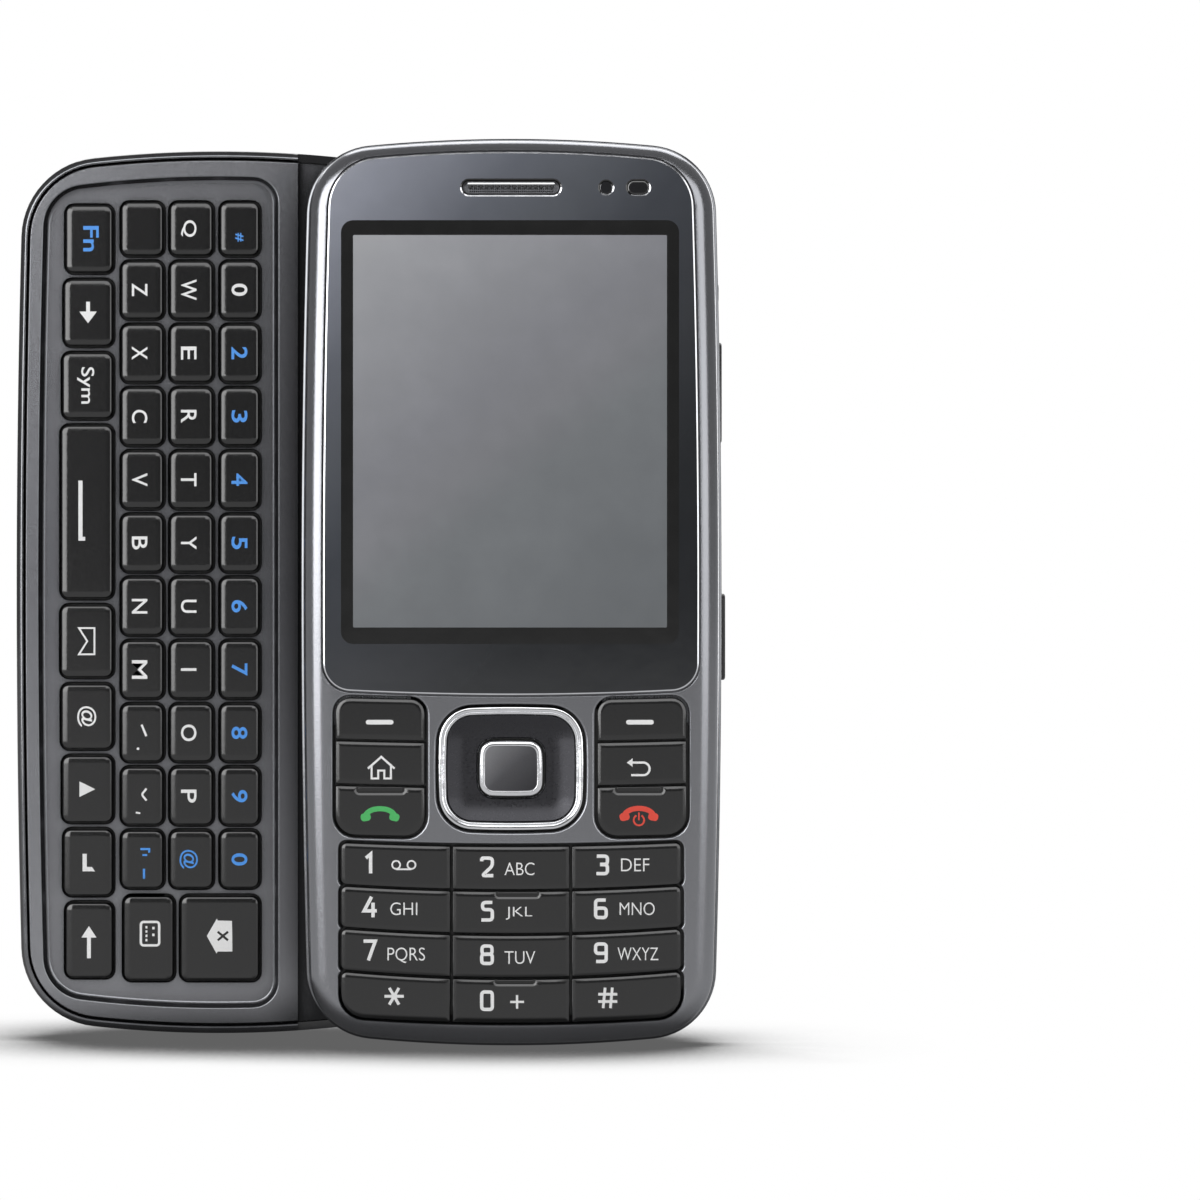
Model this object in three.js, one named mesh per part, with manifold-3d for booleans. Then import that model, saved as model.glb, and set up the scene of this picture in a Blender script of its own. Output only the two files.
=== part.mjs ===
// A slider phone with a full keyboard, standing open, in millimetres.
// The phone is drawn lying on its back: x to the right, y to its top, z out of its screen.
// The last group stands it up: the screen then faces -Y and the top of the phone +Z.
// The origin is the centre of the flat back of its lower half.
import * as THREE from 'three';
import { mergeVertices } from 'three/addons/utils/BufferGeometryUtils.js';
import Module from 'manifold-3d';

const wasm = await Module();
wasm.setup();

// Outline of the base, the half with the keyboard
const baseWidth = 51.2;
const baseLength = 111;
const baseSideCrown = 0.91;
const baseEndCrown = 2.24;
const baseCornerRadius = 10.2;

// Outline of the slide, the half with the screen, and how far it slides open
const slideSideOverhang = 0.6;
const slideEndOverhang = 1;
const slideSideCrown = 0.97;
const slideEndCrown = 1.84;
const slideCornerRadius = 8.6;
const coveredWidth = 15.6; // of the base, under the open slide
const slideWidth = baseWidth + 2 * slideSideOverhang;
const slideLength = baseLength + 2 * slideEndOverhang;
const slideTravel = slideWidth - coveredWidth;

// Clearances
const gap = 0.3; // between two pieces that face each other
const trimGap = 0.15; // round small trim set into a window or an end
const keyGap = 0.25; // between two keys of one block
const keyTravel = 0.3;
const keyFloat = 0.1; // left under a pressed key
const overrun = 1; // how far a cutting solid runs past what it cuts
const sharpRadius = 0.02; // of a corner that looks square

// Heights of the base, from its flat back upwards
const coverSkin = 0.8;
const backRoundWidth = 5.2; // how far the back's rounded side reaches in
const coverSideHeight = 4;
const batteryThickness = 3.5;
const shellWeb = 0.5; // between the battery and the board
const boardThickness = 0.6;
const domeSpace = 0.25; // over the board, for the key domes
const matThickness = 0.35;
const deckFloor = 0.85;
const wellDepth = 0.85;
const keyRecess = 0.15; // keyboard key tops under the deck's top

const shellBackZ = coverSkin + gap;
const shellSideZ = coverSideHeight + gap;
const bayRoofZ = shellBackZ + batteryThickness + gap;
const pocketFloorZ = bayRoofZ + shellWeb;
const boardZ = pocketFloorZ + gap;
const matZ = boardZ + boardThickness + domeSpace + keyTravel;
const shellTopZ = matZ + matThickness;
const deckUnderZ = shellTopZ + gap;
const wellFloorZ = deckUnderZ + deckFloor;
const deckTopZ = wellFloorZ + wellDepth;

// Heights of the slide, going on from the base
const trayFloor = 1;
const trayWallHeight = 4;
const railThickness = 0.5;
const headThickness = 0.6;
const frontBoardThickness = 0.6;
const bezelThickness = 2.2;
const bezelShoulderWidth = 2.5;
const bezelShoulderHeight = 1.7;
const windowThickness = 1.2;
const windowRecess = 0.15;
const frontKeyRecess = 0.1;

const trayBackZ = deckTopZ + gap;
const railZ = trayBackZ + trayFloor + gap;
const headZ = railZ + railThickness + gap;
const frontBoardZ = headZ + headThickness + gap;
const frontKeyZ = frontBoardZ + frontBoardThickness + keyTravel + keyFloat;
const bezelBackZ = trayBackZ + trayWallHeight + gap;
const bezelTopZ = bezelBackZ + bezelThickness;
const frontKeyTopZ = bezelTopZ - frontKeyRecess;
const windowTopZ = bezelTopZ - windowRecess;
const windowBackZ = windowTopZ - windowThickness;

// Facets of the curves
const longSteps = 4; // along a long crowned edge
const shortSteps = 2; // along a key's curved edge
const cornerSteps = 4;
const keyCornerSteps = 3;
const capCornerSteps = 2;
const roundSteps = 4; // round the section of a housing
const circleSteps = 16;
const tinyRadius = 0.2; // a corner this small is one facet
const holeSteps = 8;
const pillSteps = 4;

// Finishes, as seen in the photograph
const finish = (color, roughness, metalness) =>
  new THREE.MeshStandardMaterial({ color, roughness, metalness });
const satinSilver = finish('#8a8b8f', 0.32, 0.9);
const graphiteMetal = finish('#4b4c50', 0.38, 0.8);
const deckPaint = finish('#55565a', 0.5, 0.4);
const glossTrim = finish('#2a2a2d', 0.12, 0.3);
const blackHousing = finish('#1b1b1d', 0.35, 0);
const smokedWindow = finish('#30353e', 0.05, 0);
const displayGlass = finish('#85888b', 0.1, 0);
const keyPlastic = finish('#29292b', 0.42, 0);
const chrome = finish('#d9dadd', 0.08, 1);
const brushedGrey = finish('#7d7e82', 0.35, 0.9);
const springSteel = finish('#a5a7ab', 0.3, 1);
const circuitGreen = finish('#1f4a34', 0.5, 0);
const batteryWrap = finish('#3c3f44', 0.55, 0);
const lensGlass = finish('#0c0d10', 0.03, 0);

// Turns a closed three.js geometry into a solid
function toSolid(geometry) {
  const bare = geometry.clone();
  bare.deleteAttribute('normal');
  bare.deleteAttribute('uv');
  const merged = mergeVertices(bare);
  return new wasm.Manifold(new wasm.Mesh({
    numProp: 3,
    vertProperties: new Float32Array(merged.attributes.position.array),
    triVerts: new Uint32Array(merged.index.array),
  }));
}

// Turns a solid back into a geometry
function toGeometry(solid) {
  const mesh = solid.getMesh();
  const geometry = new THREE.BufferGeometry();
  geometry.setAttribute('position', new THREE.BufferAttribute(mesh.vertProperties, 3));
  geometry.setIndex(new THREE.BufferAttribute(mesh.triVerts, 1));
  geometry.computeVertexNormals();
  return geometry;
}

const cut = (solid, ...tools) => tools.reduce((rest, tool) => rest.subtract(tool), solid);
const join = (first, ...others) => others.reduce((sum, other) => sum.add(other), first);

// A curved edge of an outline: a circle, and whether the outline lies inside it (1) or outside (-1)
const arcEdge = (x, y, radius, side = 1) => ({ x, y, radius, side });
// A straight edge across an axis, and whether the outline lies below it (1) or above it (-1)
const lineEdge = (axis, at, side) => ({ axis, at, side });
const arcRadius = (half, crown) => (half * half + crown * crown) / (2 * crown);

// The right, top, left and bottom edges of a box, straight or bowing out by their crowns
function crownedEdges(box, { right = 0, top = 0, left = 0, bottom = 0 } = {}) {
  const middleX = (box.left + box.right) / 2;
  const middleY = (box.bottom + box.top) / 2;
  const halfX = (box.right - box.left) / 2;
  const halfY = (box.top - box.bottom) / 2;
  const vertical = (crown, at, side) => {
    if (crown === 0) return lineEdge('x', at, side);
    const radius = arcRadius(halfY, crown);
    return arcEdge(at - side * radius, middleY, radius);
  };
  const level = (crown, at, side) => {
    if (crown === 0) return lineEdge('y', at, side);
    const radius = arcRadius(halfX, crown);
    return arcEdge(middleX, at - side * radius, radius);
  };
  return [
    vertical(right, box.right, 1),
    level(top, box.top, 1),
    vertical(left, box.left, -1),
    level(bottom, box.bottom, -1),
  ];
}

// An outline: its box, its four edges, its corner radii from top right round to bottom right
function outline(box, edges, radii, steps) {
  const { left, right, top, bottom } = box;
  const corners = [[right, top], [left, top], [left, bottom], [right, bottom]];
  return { edges, radii, steps, corners: corners.map(([x, y]) => new THREE.Vector2(x, y)) };
}

// A rounded box, its edges crowned or straight
function roundedBox(box, radius, steps, crowns) {
  return outline(box, crownedEdges(box, crowns), [radius, radius, radius, radius], steps);
}

const centredBox = (x, y, width, height) =>
  ({ left: x - width / 2, right: x + width / 2, bottom: y - height / 2, top: y + height / 2 });

// An edge moved towards the inside of its outline
function movedIn(edge, inset) {
  if (edge.axis) return { ...edge, at: edge.at - edge.side * inset };
  return { ...edge, radius: edge.radius - edge.side * inset };
}

// Where two circles meet, nearest a given point
function arcsMeet(one, other, near) {
  const across = new THREE.Vector2(other.x - one.x, other.y - one.y);
  const distance = across.length();
  const along = (distance ** 2 + one.radius ** 2 - other.radius ** 2) / (2 * distance);
  const aside = Math.sqrt(Math.max(0, one.radius ** 2 - along ** 2));
  const foot = new THREE.Vector2(one.x, one.y).addScaledVector(across, along / distance);
  const normal = new THREE.Vector2(-across.y, across.x).multiplyScalar(aside / distance);
  const first = foot.clone().add(normal);
  const second = foot.clone().sub(normal);
  return first.distanceTo(near) < second.distanceTo(near) ? first : second;
}

// Where a straight edge meets a circle, nearest a given point
function lineMeetsArc(line, arc, near) {
  const other = line.axis === 'x' ? 'y' : 'x';
  const aside = Math.sqrt(Math.max(0, arc.radius ** 2 - (line.at - arc[line.axis]) ** 2));
  const point = new THREE.Vector2();
  point[line.axis] = line.at;
  point[other] = arc[other] + (near[other] > arc[other] ? aside : -aside);
  return point;
}

// Where two neighbouring edges meet
function meeting(one, other, near) {
  if (one.axis && other.axis) {
    const point = new THREE.Vector2();
    point[one.axis] = one.at;
    point[other.axis] = other.at;
    return point;
  }
  if (one.axis) return lineMeetsArc(one, other, near);
  if (other.axis) return lineMeetsArc(other, one, near);
  return arcsMeet(one, other, near);
}

// The point of an edge nearest a fillet's centre
function tangentPoint(edge, centre) {
  const point = centre.clone();
  if (edge.axis) {
    point[edge.axis] = edge.at;
    return point;
  }
  const away = new THREE.Vector2(centre.x - edge.x, centre.y - edge.y).normalize();
  return new THREE.Vector2(edge.x, edge.y).addScaledVector(away, edge.radius);
}

// Points along an arc round a centre, from one angle to another the short way
function arcPoints(centre, radius, from, to, steps) {
  const turn = Math.atan2(Math.sin(to - from), Math.cos(to - from));
  return Array.from({ length: steps + 1 }, (_, k) => {
    const angle = from + turn * k / steps;
    return new THREE.Vector2(centre.x + radius * Math.cos(angle), centre.y + radius * Math.sin(angle));
  });
}

const angleTo = (from, to) => Math.atan2(to.y - from.y, to.x - from.x);

// The points of an outline, anticlockwise, moved inwards by an inset
function outlinePoints({ edges, radii, steps, corners }, inset = 0) {
  const moved = edges.map((edge) => movedIn(edge, inset));
  const fillets = corners.map((corner, k) => {
    const radius = Math.max(radii[k] - inset, sharpRadius);
    const [before, after] = [moved[k], moved[(k + 1) % moved.length]];
    const centre = meeting(movedIn(before, radius), movedIn(after, radius), corner);
    return { centre, radius, start: tangentPoint(before, centre), end: tangentPoint(after, centre) };
  });
  return fillets.flatMap(({ centre, radius, start, end }, k) => {
    const next = fillets[(k + 1) % fillets.length];
    const edge = moved[(k + 1) % moved.length];
    const count = radii[k] > tinyRadius ? steps.corner : 1;
    const round = arcPoints(centre, radius, angleTo(centre, start), angleTo(centre, end), count);
    const corner = [start, ...round.slice(1, -1), end];
    if (edge.axis) return corner;
    const along = arcPoints(edge, edge.radius, angleTo(edge, end), angleTo(edge, next.start), steps.edge);
    return [...corner, ...along.slice(1, -1)];
  });
}

// A closed solid through rings of as many points each, from the lowest ring up
function loft(rings) {
  const count = rings[0].points.length;
  const positions = rings.flatMap(({ points, z }) => points.flatMap((p) => [p.x, p.y, z]));
  const faces = THREE.ShapeUtils.triangulateShape(rings[0].points, []);
  const lid = THREE.ShapeUtils.triangulateShape(rings.at(-1).points, []);
  const top = (rings.length - 1) * count;
  const index = [
    ...faces.flatMap(([a, b, c]) => [a, c, b]),
    ...lid.flatMap(([a, b, c]) => [a + top, b + top, c + top]),
  ];
  for (let ring = 0; ring < rings.length - 1; ring += 1) {
    for (let k = 0; k < count; k += 1) {
      const a = ring * count + k;
      const b = ring * count + (k + 1) % count;
      index.push(a, b, b + count, a, b + count, a + count);
    }
  }
  const geometry = new THREE.BufferGeometry();
  geometry.setAttribute('position', new THREE.BufferAttribute(new Float32Array(positions), 3));
  geometry.setIndex(index);
  return toSolid(geometry);
}

// A solid whose sides follow a profile of [inset, height] pairs round an outline
const shaped = (form, profile) =>
  loft(profile.map(([inset, z]) => ({ points: outlinePoints(form, inset), z })));
const slab = (form, from, to, inset = 0) => shaped(form, [[inset, from], [inset, to]]);
const frame = (form, from, to, outer, inner) =>
  cut(slab(form, from, to, outer), slab(form, from - overrun, to + overrun, inner));

// A plain box between two corners
function block(x, y, z) {
  const geometry = new THREE.BoxGeometry(x[1] - x[0], y[1] - y[0], z[1] - z[0]);
  geometry.translate((x[0] + x[1]) / 2, (y[0] + y[1]) / 2, (z[0] + z[1]) / 2);
  return toSolid(geometry);
}

// A round pin or hole along z
function disc(x, y, radius, from, to, steps = circleSteps) {
  const geometry = new THREE.CylinderGeometry(radius, radius, to - from, steps);
  geometry.rotateX(Math.PI / 2);
  geometry.translate(x, y, (from + to) / 2);
  return toSolid(geometry);
}

// A bar with round ends, long along x, pushed out along z
function pill(x, y, length, width, from, to) {
  const [radius, half] = [width / 2, (length - width) / 2];
  const shape = new THREE.Shape();
  shape.absarc(half, 0, radius, -Math.PI / 2, Math.PI / 2);
  shape.absarc(-half, 0, radius, Math.PI / 2, 3 * Math.PI / 2);
  const geometry = new THREE.ExtrudeGeometry(shape, {
    depth: to - from, bevelEnabled: false, steps: 1, curveSegments: pillSteps,
  });
  return geometry.translate(x, y, from);
}

// A slot with round ends, long along x
const slot = (...sizes) => toSolid(pill(...sizes));

const longForm = { corner: cornerSteps, edge: longSteps };
const keySteps = { corner: keyCornerSteps, edge: shortSteps };
const ringSteps = { corner: cornerSteps, edge: shortSteps };
const capSteps = { corner: capCornerSteps, edge: 1 };

// The outlines of both halves
const baseBox = centredBox(0, 0, baseWidth, baseLength);
const baseForm = roundedBox(baseBox, baseCornerRadius, longForm,
  { left: baseSideCrown, right: baseSideCrown, top: baseEndCrown, bottom: baseEndCrown });
const slideBox = centredBox(0, 0, slideWidth, slideLength);
const slideForm = roundedBox(slideBox, slideCornerRadius, longForm,
  { left: slideSideCrown, right: slideSideCrown, top: slideEndCrown, bottom: slideEndCrown });

// How far a half's side wall stands from its middle at a height y
const sideAt = (form, y) => {
  const [right] = form.edges;
  return right.x + Math.sqrt(right.radius ** 2 - (y - right.y) ** 2);
};

// The group that holds the phone, and its two halves
const phone = new THREE.Group();
phone.rotation.x = Math.PI / 2;
const base = new THREE.Group();
const slide = new THREE.Group();
slide.position.x = slideTravel;
phone.add(base, slide);

// Adds a solid to a half as a named mesh
function add(half, name, solid, material) {
  const mesh = new THREE.Mesh(toGeometry(solid), material);
  mesh.name = name;
  half.add(mesh);
}

// Battery cover and end cap: one rounded back, parted by a seam
const seamRise = 11.9; // from the phone's lower end
const seamOverhang = 2.4;
const seamRadius = 12;
const seamCrown = 0.4;
const notchWidth = 8.6;
const notchHeight = 2;
const notchDepth = 0.5;

// The profile of the back, a skin thickness or more under its surface
function backProfile(under, sideZ) {
  return Array.from({ length: roundSteps + 1 }, (_, k) => {
    const angle = (Math.PI / 2) * k / roundSteps;
    return [
      under + (backRoundWidth - under) * (1 - Math.sin(angle)),
      under + (sideZ - under) * (1 - Math.cos(angle)),
    ];
  });
}

const seamY = baseBox.bottom + seamRise;
const seamBox = {
  left: baseBox.left - seamOverhang,
  right: baseBox.right + seamOverhang,
  bottom: seamY,
  top: baseLength,
};
const seamForm = roundedBox(seamBox, seamRadius, longForm, { bottom: seamCrown });

const backOuter = shaped(baseForm, backProfile(0, coverSideHeight));
const backInner = shaped(baseForm,
  [...backProfile(coverSkin, coverSideHeight), [coverSkin, coverSideHeight + overrun]]);
const backSkin = cut(backOuter, backInner);

// Camera, on the middle line near the top
const cameraDrop = 16.5; // from the phone's upper end
const cameraRingWidth = 9.2;
const cameraRingHeight = 8.8;
const cameraRingRadius = 3;
const cameraRingRim = 1;
const cameraRingDepth = 1.3;
const cameraRingSink = 0.05;
const cameraGlassSink = 0.3;
const cameraGlassThickness = 0.6;
const cameraModuleInset = 0.5;
const lensRadius = 1.5;
const lensSeat = 0.25; // how far the lens barrel sits in its module

const cameraY = baseBox.top - cameraDrop;
const cameraRingForm = roundedBox(
  centredBox(0, cameraY, cameraRingWidth, cameraRingHeight), cameraRingRadius, keySteps);
const cameraRingZ = [cameraRingSink, cameraRingSink + cameraRingDepth];
const cameraGlassZ = [cameraGlassSink, cameraGlassSink + cameraGlassThickness];
const cameraModuleZ = [cameraRingZ[1] + gap, bayRoofZ];

// Loudspeaker behind its holes
const speakerCameraSpace = 2.5;
const speakerDrop = 16.7;
const speakerWidth = 11;
const speakerHeight = 8;
const speakerThickness = 2.8;
const speakerRadius = 1;
const speakerHoleRadius = 0.5;
const speakerPitchX = 1.44;
const speakerPitchY = 1.49;
const speakerColumns = 4;
const speakerRows = 3;

const speakerX = -cameraRingWidth / 2 - speakerCameraSpace - speakerWidth / 2;
const speakerY = baseBox.top - speakerDrop;
const speakerForm = roundedBox(
  centredBox(speakerX, speakerY, speakerWidth, speakerHeight), speakerRadius, capSteps);
const speakerHoles = [];
for (let column = 0; column < speakerColumns; column += 1) {
  for (let row = 0; row < speakerRows; row += 1) {
    const x = speakerX + (column - (speakerColumns - 1) / 2) * speakerPitchX;
    const y = speakerY + (row - (speakerRows - 1) / 2) * speakerPitchY;
    speakerHoles.push(disc(x, y, speakerHoleRadius, -overrun, coverSkin + overrun, holeSteps));
  }
}

const seamPrism = slab(seamForm, -overrun, coverSideHeight + overrun);
const seamWider = slab(seamForm, -overrun, coverSideHeight + overrun, -gap);
const notch = slot(0, seamY - notchHeight / 2, notchWidth, notchHeight, -overrun, notchDepth);
add(base, 'battery_cover', cut(
  backSkin.intersect(seamPrism),
  slab(cameraRingForm, -overrun, coverSkin + overrun, -gap),
  ...speakerHoles,
), graphiteMetal);
add(base, 'rear_end_cap', cut(backSkin, seamWider, notch), graphiteMetal);

add(base, 'camera_bezel', frame(cameraRingForm, ...cameraRingZ, 0, cameraRingRim), chrome);
add(base, 'camera_glass', slab(cameraRingForm, ...cameraGlassZ, cameraRingRim + trimGap), lensGlass);
const lensBarrel = disc(0, cameraY, lensRadius, cameraGlassZ[1] + gap, cameraModuleZ[0] + lensSeat);
add(base, 'camera_module',
  join(slab(cameraRingForm, ...cameraModuleZ, cameraModuleInset), lensBarrel), blackHousing);

// Battery in its bay
const batterySideInset = 7.6;
const batteryCameraSpace = 22;
const batterySeamSpace = 10.6;
const batteryRadius = 1.5;
const batteryForm = roundedBox({
  left: baseBox.left + batterySideInset,
  right: baseBox.right - batterySideInset,
  bottom: seamY + batterySeamSpace,
  top: cameraY - batteryCameraSpace,
}, batteryRadius, capSteps);
add(base, 'battery', slab(batteryForm, shellBackZ, shellBackZ + batteryThickness), batteryWrap);

const speakerZ = [shellBackZ + gap, shellBackZ + gap + speakerThickness];
add(base, 'loudspeaker', slab(speakerForm, ...speakerZ), blackHousing);

// Vibration motor, a drum lying along x
const motorCameraSpace = 3.9;
const motorDrop = 17.5;
const motorRadius = 1.7;
const motorLength = 9;
const motorX = cameraRingWidth / 2 + motorCameraSpace + motorLength / 2;
const motorY = baseBox.top - motorDrop;
const motorZ = shellBackZ + gap + motorRadius;
const motorDrum = new THREE.CylinderGeometry(motorRadius, motorRadius, motorLength, circleSteps);
motorDrum.rotateZ(Math.PI / 2);
motorDrum.translate(motorX, motorY, motorZ);
add(base, 'vibration_motor', toSolid(motorDrum), springSteel);

// Side wall fittings of the base: two keys and a covered socket, all on its left side
const shellWall = 1.9;
const sideKeyHeight = 1.9;
const sideKeyProud = 0.2;
const sideKeyFlange = 0.15;
const sideFlangeThickness = 0.5;
const sideKeyZ = (shellSideZ + shellTopZ) / 2;
const upperKeyDrop = 20.9;
const upperKeyLength = 5.3;
const lowerKeyRise = 33.1;
const lowerKeyLength = 6.9;
const socketDrop = 29.7;
const socketLength = 9.1;
const socketHeight = 2;
const socketDepth = 3.8;
const socketLip = 0.4;
const flapLength = 9.7;
const flapThickness = 0.9;
const flapProud = 0.15;
const flapHeight = 2.2;
const upperKeyY = baseBox.top - upperKeyDrop;
const lowerKeyY = baseBox.bottom + lowerKeyRise;
const socketY = baseBox.top - socketDrop;

// A pill-shaped bar along y that points along x, as a side key or its opening
function sidePill(xs, y, length, height, z) {
  const bar = pill(0, 0, length, height, 0, xs[1] - xs[0]);
  bar.rotateZ(Math.PI / 2);
  bar.rotateY(Math.PI / 2);
  return toSolid(bar.translate(xs[0], y, z));
}

// A side key with the flange that keeps it in; side is -1 on the left wall and 1 on the right
function sideKey(side, wallX, wall, proud, y, length, height, z) {
  const ordered = (...xs) => xs.map((x) => side * x).sort((a, b) => a - b);
  const inner = wallX - wall - gap;
  const stem = sidePill(ordered(inner - sideFlangeThickness / 2, wallX + proud), y, length, height, z);
  const flange = sidePill(ordered(inner - sideFlangeThickness, inner), y,
    length + 2 * sideKeyFlange, height + 2 * sideKeyFlange, z);
  return join(stem, flange);
}

// The opening that such a key passes through
const sideOpening = (side, wallX, wall, y, length, height, z) => {
  const xs = [side * (wallX - wall - overrun), side * (wallX + overrun)].sort((a, b) => a - b);
  return sidePill(xs, y, length + 2 * keyGap, height + 2 * keyGap, z);
};

// The room behind the wall that such a key's flange moves in
const flangePocket = (side, wallX, wall, y, length, height, z) => {
  const depth = sideFlangeThickness + keyTravel + 2 * gap;
  const xs = [side * (wallX - wall - depth), side * (wallX - wall)].sort((a, b) => a - b);
  const reach = sideKeyFlange + keyGap;
  return sidePill(xs, y, length + 2 * reach, height + 2 * reach, z);
};

const upperKey = [sideAt(baseForm, upperKeyY), shellWall];
const lowerKey = [sideAt(baseForm, lowerKeyY), shellWall];
add(base, 'side_key_upper', sideKey(-1, ...upperKey, sideKeyProud,
  upperKeyY, upperKeyLength, sideKeyHeight, sideKeyZ), blackHousing);
add(base, 'side_key_lower', sideKey(-1, ...lowerKey, sideKeyProud,
  lowerKeyY, lowerKeyLength, sideKeyHeight, sideKeyZ), blackHousing);

// The socket's cover is a flap on a round hinge at its lower end
const flapX = -sideAt(baseForm, socketY) - flapProud + flapThickness / 2;
const flapHingeY = socketY - flapLength / 2 + flapThickness / 2;
const flapSpanZ = [sideKeyZ - flapHeight / 2, sideKeyZ + flapHeight / 2];
const flapPlate = block([flapX - flapThickness / 2, flapX + flapThickness / 2],
  [flapHingeY, socketY + flapLength / 2], flapSpanZ);
const flapBarrel = disc(flapX, flapHingeY, flapThickness / 2, ...flapSpanZ, holeSteps);
add(base, 'connector_cover', join(flapPlate, flapBarrel), blackHousing);

const socketX = [flapX + flapThickness / 2 + gap, flapX + flapThickness / 2 + gap + socketDepth];
const socketSpanY = [socketY - socketLength / 2, socketY + socketLength / 2];
const socketSpanZ = [sideKeyZ - socketHeight / 2, sideKeyZ + socketHeight / 2];
const shrink = ([from, to], by) => [from + by, to - by];
const grow = ([from, to], by) => [from - by, to + by];
add(base, 'connector_socket', cut(
  block(socketX, socketSpanY, socketSpanZ),
  block([socketX[0] - overrun, socketX[1] - socketLip], shrink(socketSpanY, socketLip),
    shrink(socketSpanZ, socketLip)),
), springSteel);

// Rear shell: the frame that carries the battery, the board and the camera
const shellBody = join(
  shaped(baseForm, [...backProfile(shellBackZ, shellSideZ), [shellBackZ, shellTopZ]]),
  slab(baseForm, shellSideZ, shellTopZ),
);
const motorPocket = block(grow([motorX - motorLength / 2, motorX + motorLength / 2], gap),
  grow([motorY - motorRadius, motorY + motorRadius], gap), [0, motorZ + motorRadius + gap]);
add(base, 'base_rear_shell', cut(
  shellBody,
  slab(baseForm, pocketFloorZ, shellTopZ + overrun, shellWall),
  slab(batteryForm, 0, bayRoofZ, -gap),
  slab(cameraRingForm, 0, pocketFloorZ + overrun, -gap),
  slab(speakerForm, 0, speakerZ[1] + gap, -gap),
  motorPocket,
  ...[[upperKey, upperKeyY, upperKeyLength], [lowerKey, lowerKeyY, lowerKeyLength]].flatMap(
    ([place, y, length]) => [sideOpening, flangePocket].map((shape) =>
      shape(-1, ...place, y, length, sideKeyHeight, sideKeyZ))),
  block([-baseWidth, socketX[0]], grow([socketY - flapLength / 2, socketY + flapLength / 2], gap),
    grow(flapSpanZ, keyGap)),
  block([-baseWidth, socketX[1] + gap], grow(socketSpanY, gap), grow(socketSpanZ, gap)),
), blackHousing);

// Main board, clear of the fittings in the left wall
const boardInset = 2.2;
const boardSocketSpace = 1.15;
const boardBox = { ...baseBox, left: socketX[1] + boardSocketSpace };
const boardForm = outline(boardBox,
  [baseForm.edges[0], baseForm.edges[1], crownedEdges(boardBox)[2], baseForm.edges[3]],
  [baseCornerRadius, boardInset * 2, boardInset * 2, baseCornerRadius], longForm);
add(base, 'main_board', slab(boardForm, boardZ, boardZ + boardThickness, boardInset), circuitGreen);

// Rim: a gloss frame whose right end drops where the slide rests over it
const rimWall = 1;
const rimChamfer = 0.3;
const rimStepReach = 0.75; // how far the step shows beside the open slide
const rimStepDepth = 0.7;
const rimStepX = slideTravel + slideBox.left - rimStepReach;
const rimOuter = shaped(baseForm,
  [[0, deckUnderZ], [0, deckTopZ - rimChamfer], [rimChamfer, deckTopZ]]);
const rimStep = block([rimStepX, baseWidth], [-baseLength, baseLength],
  [deckTopZ - rimStepDepth, deckTopZ + overrun]);
add(base, 'base_rim', cut(rimOuter,
  slab(baseForm, deckUnderZ - overrun, deckTopZ + overrun, rimWall), rimStep), glossTrim);

// Keyboard: four columns across the well and the keys down each, in shares of the room for keys
const keyboardCapRadius = 0.9;
const capDraft = 0.12; // how much a cap narrows to its top
const matFlange = 0.35;
const wellStepSpace = 2.45;
const keyboardSideInset = 5.65;
const keyboardWellSpace = 2.52;
const columnShares = [6.41, 5.14, 5.25, 4.77];
const columnGaps = [1.21, 0.98, 1.07];
const functionDrop = 6.9;
const functionRise = 7.06;
const functionShares = [8.3, 8.2, 8.1, 21.6, 8.9, 8, 8.2, 8.2, 9.3];
const functionGap = 1.03;
const functionCrown = 1;
const spaceIndex = 3;
const letterDrop = 6.5;
const letterRise = 6.7;
const firstLetterLength = 6.55;
const letterGap = 0.89;
const lastKeyGap = 1.15;
const letterCount = 11;
const lastKeyLength = 10.5;
const symbolInset = 0.3;
const lastColumnGap = 1.01;
const lastShares = [6.16, 9.74];

const sum = (values) => values.reduce((total, value) => total + value, 0);
// Splits a length into pieces by their shares, less the gaps between them
const split = (length, shares, gaps) =>
  shares.map((share) => (length - sum(gaps)) * share / sum(shares));

// The left and right edges of pieces side by side
function spans(from, to, shares, gaps) {
  let x = from;
  return split(to - from, shares, gaps).map((width, k) => {
    const span = [x, x + width];
    x += width + (gaps[k] ?? 0);
    return span;
  });
}

// The boxes of a column of keys, from the top down
function columnBoxes(left, right, top, lengths, space) {
  let y = top;
  return lengths.map((length) => {
    const box = { left, right, top: y, bottom: y - length };
    y -= length + space;
    return box;
  });
}

const wellRightX = rimStepX - wellStepSpace;
const keyboardLeft = baseBox.left + keyboardSideInset;
const keyboardRight = wellRightX - keyboardWellSpace;
const [functionColumn, lowerColumn, upperColumn, numberColumn] =
  spans(keyboardLeft, keyboardRight, columnShares, columnGaps);
const letterTop = baseBox.top - letterDrop;
const letterRoom = letterTop - baseBox.bottom - letterRise - lastKeyLength - lastKeyGap;
const letterLength = (letterRoom - firstLetterLength) / (letterCount - 1) - letterGap;
const letterLengths = [firstLetterLength, ...Array(letterCount - 1).fill(letterLength)];
const letterBoxes = ([left, right]) => columnBoxes(left, right, letterTop, letterLengths, letterGap);
const lettersEnd = letterBoxes(upperColumn).at(-1).bottom - lastKeyGap;
const lastBox = ([left, right]) => ({ left, right, top: lettersEnd, bottom: lettersEnd - lastKeyLength });

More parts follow.
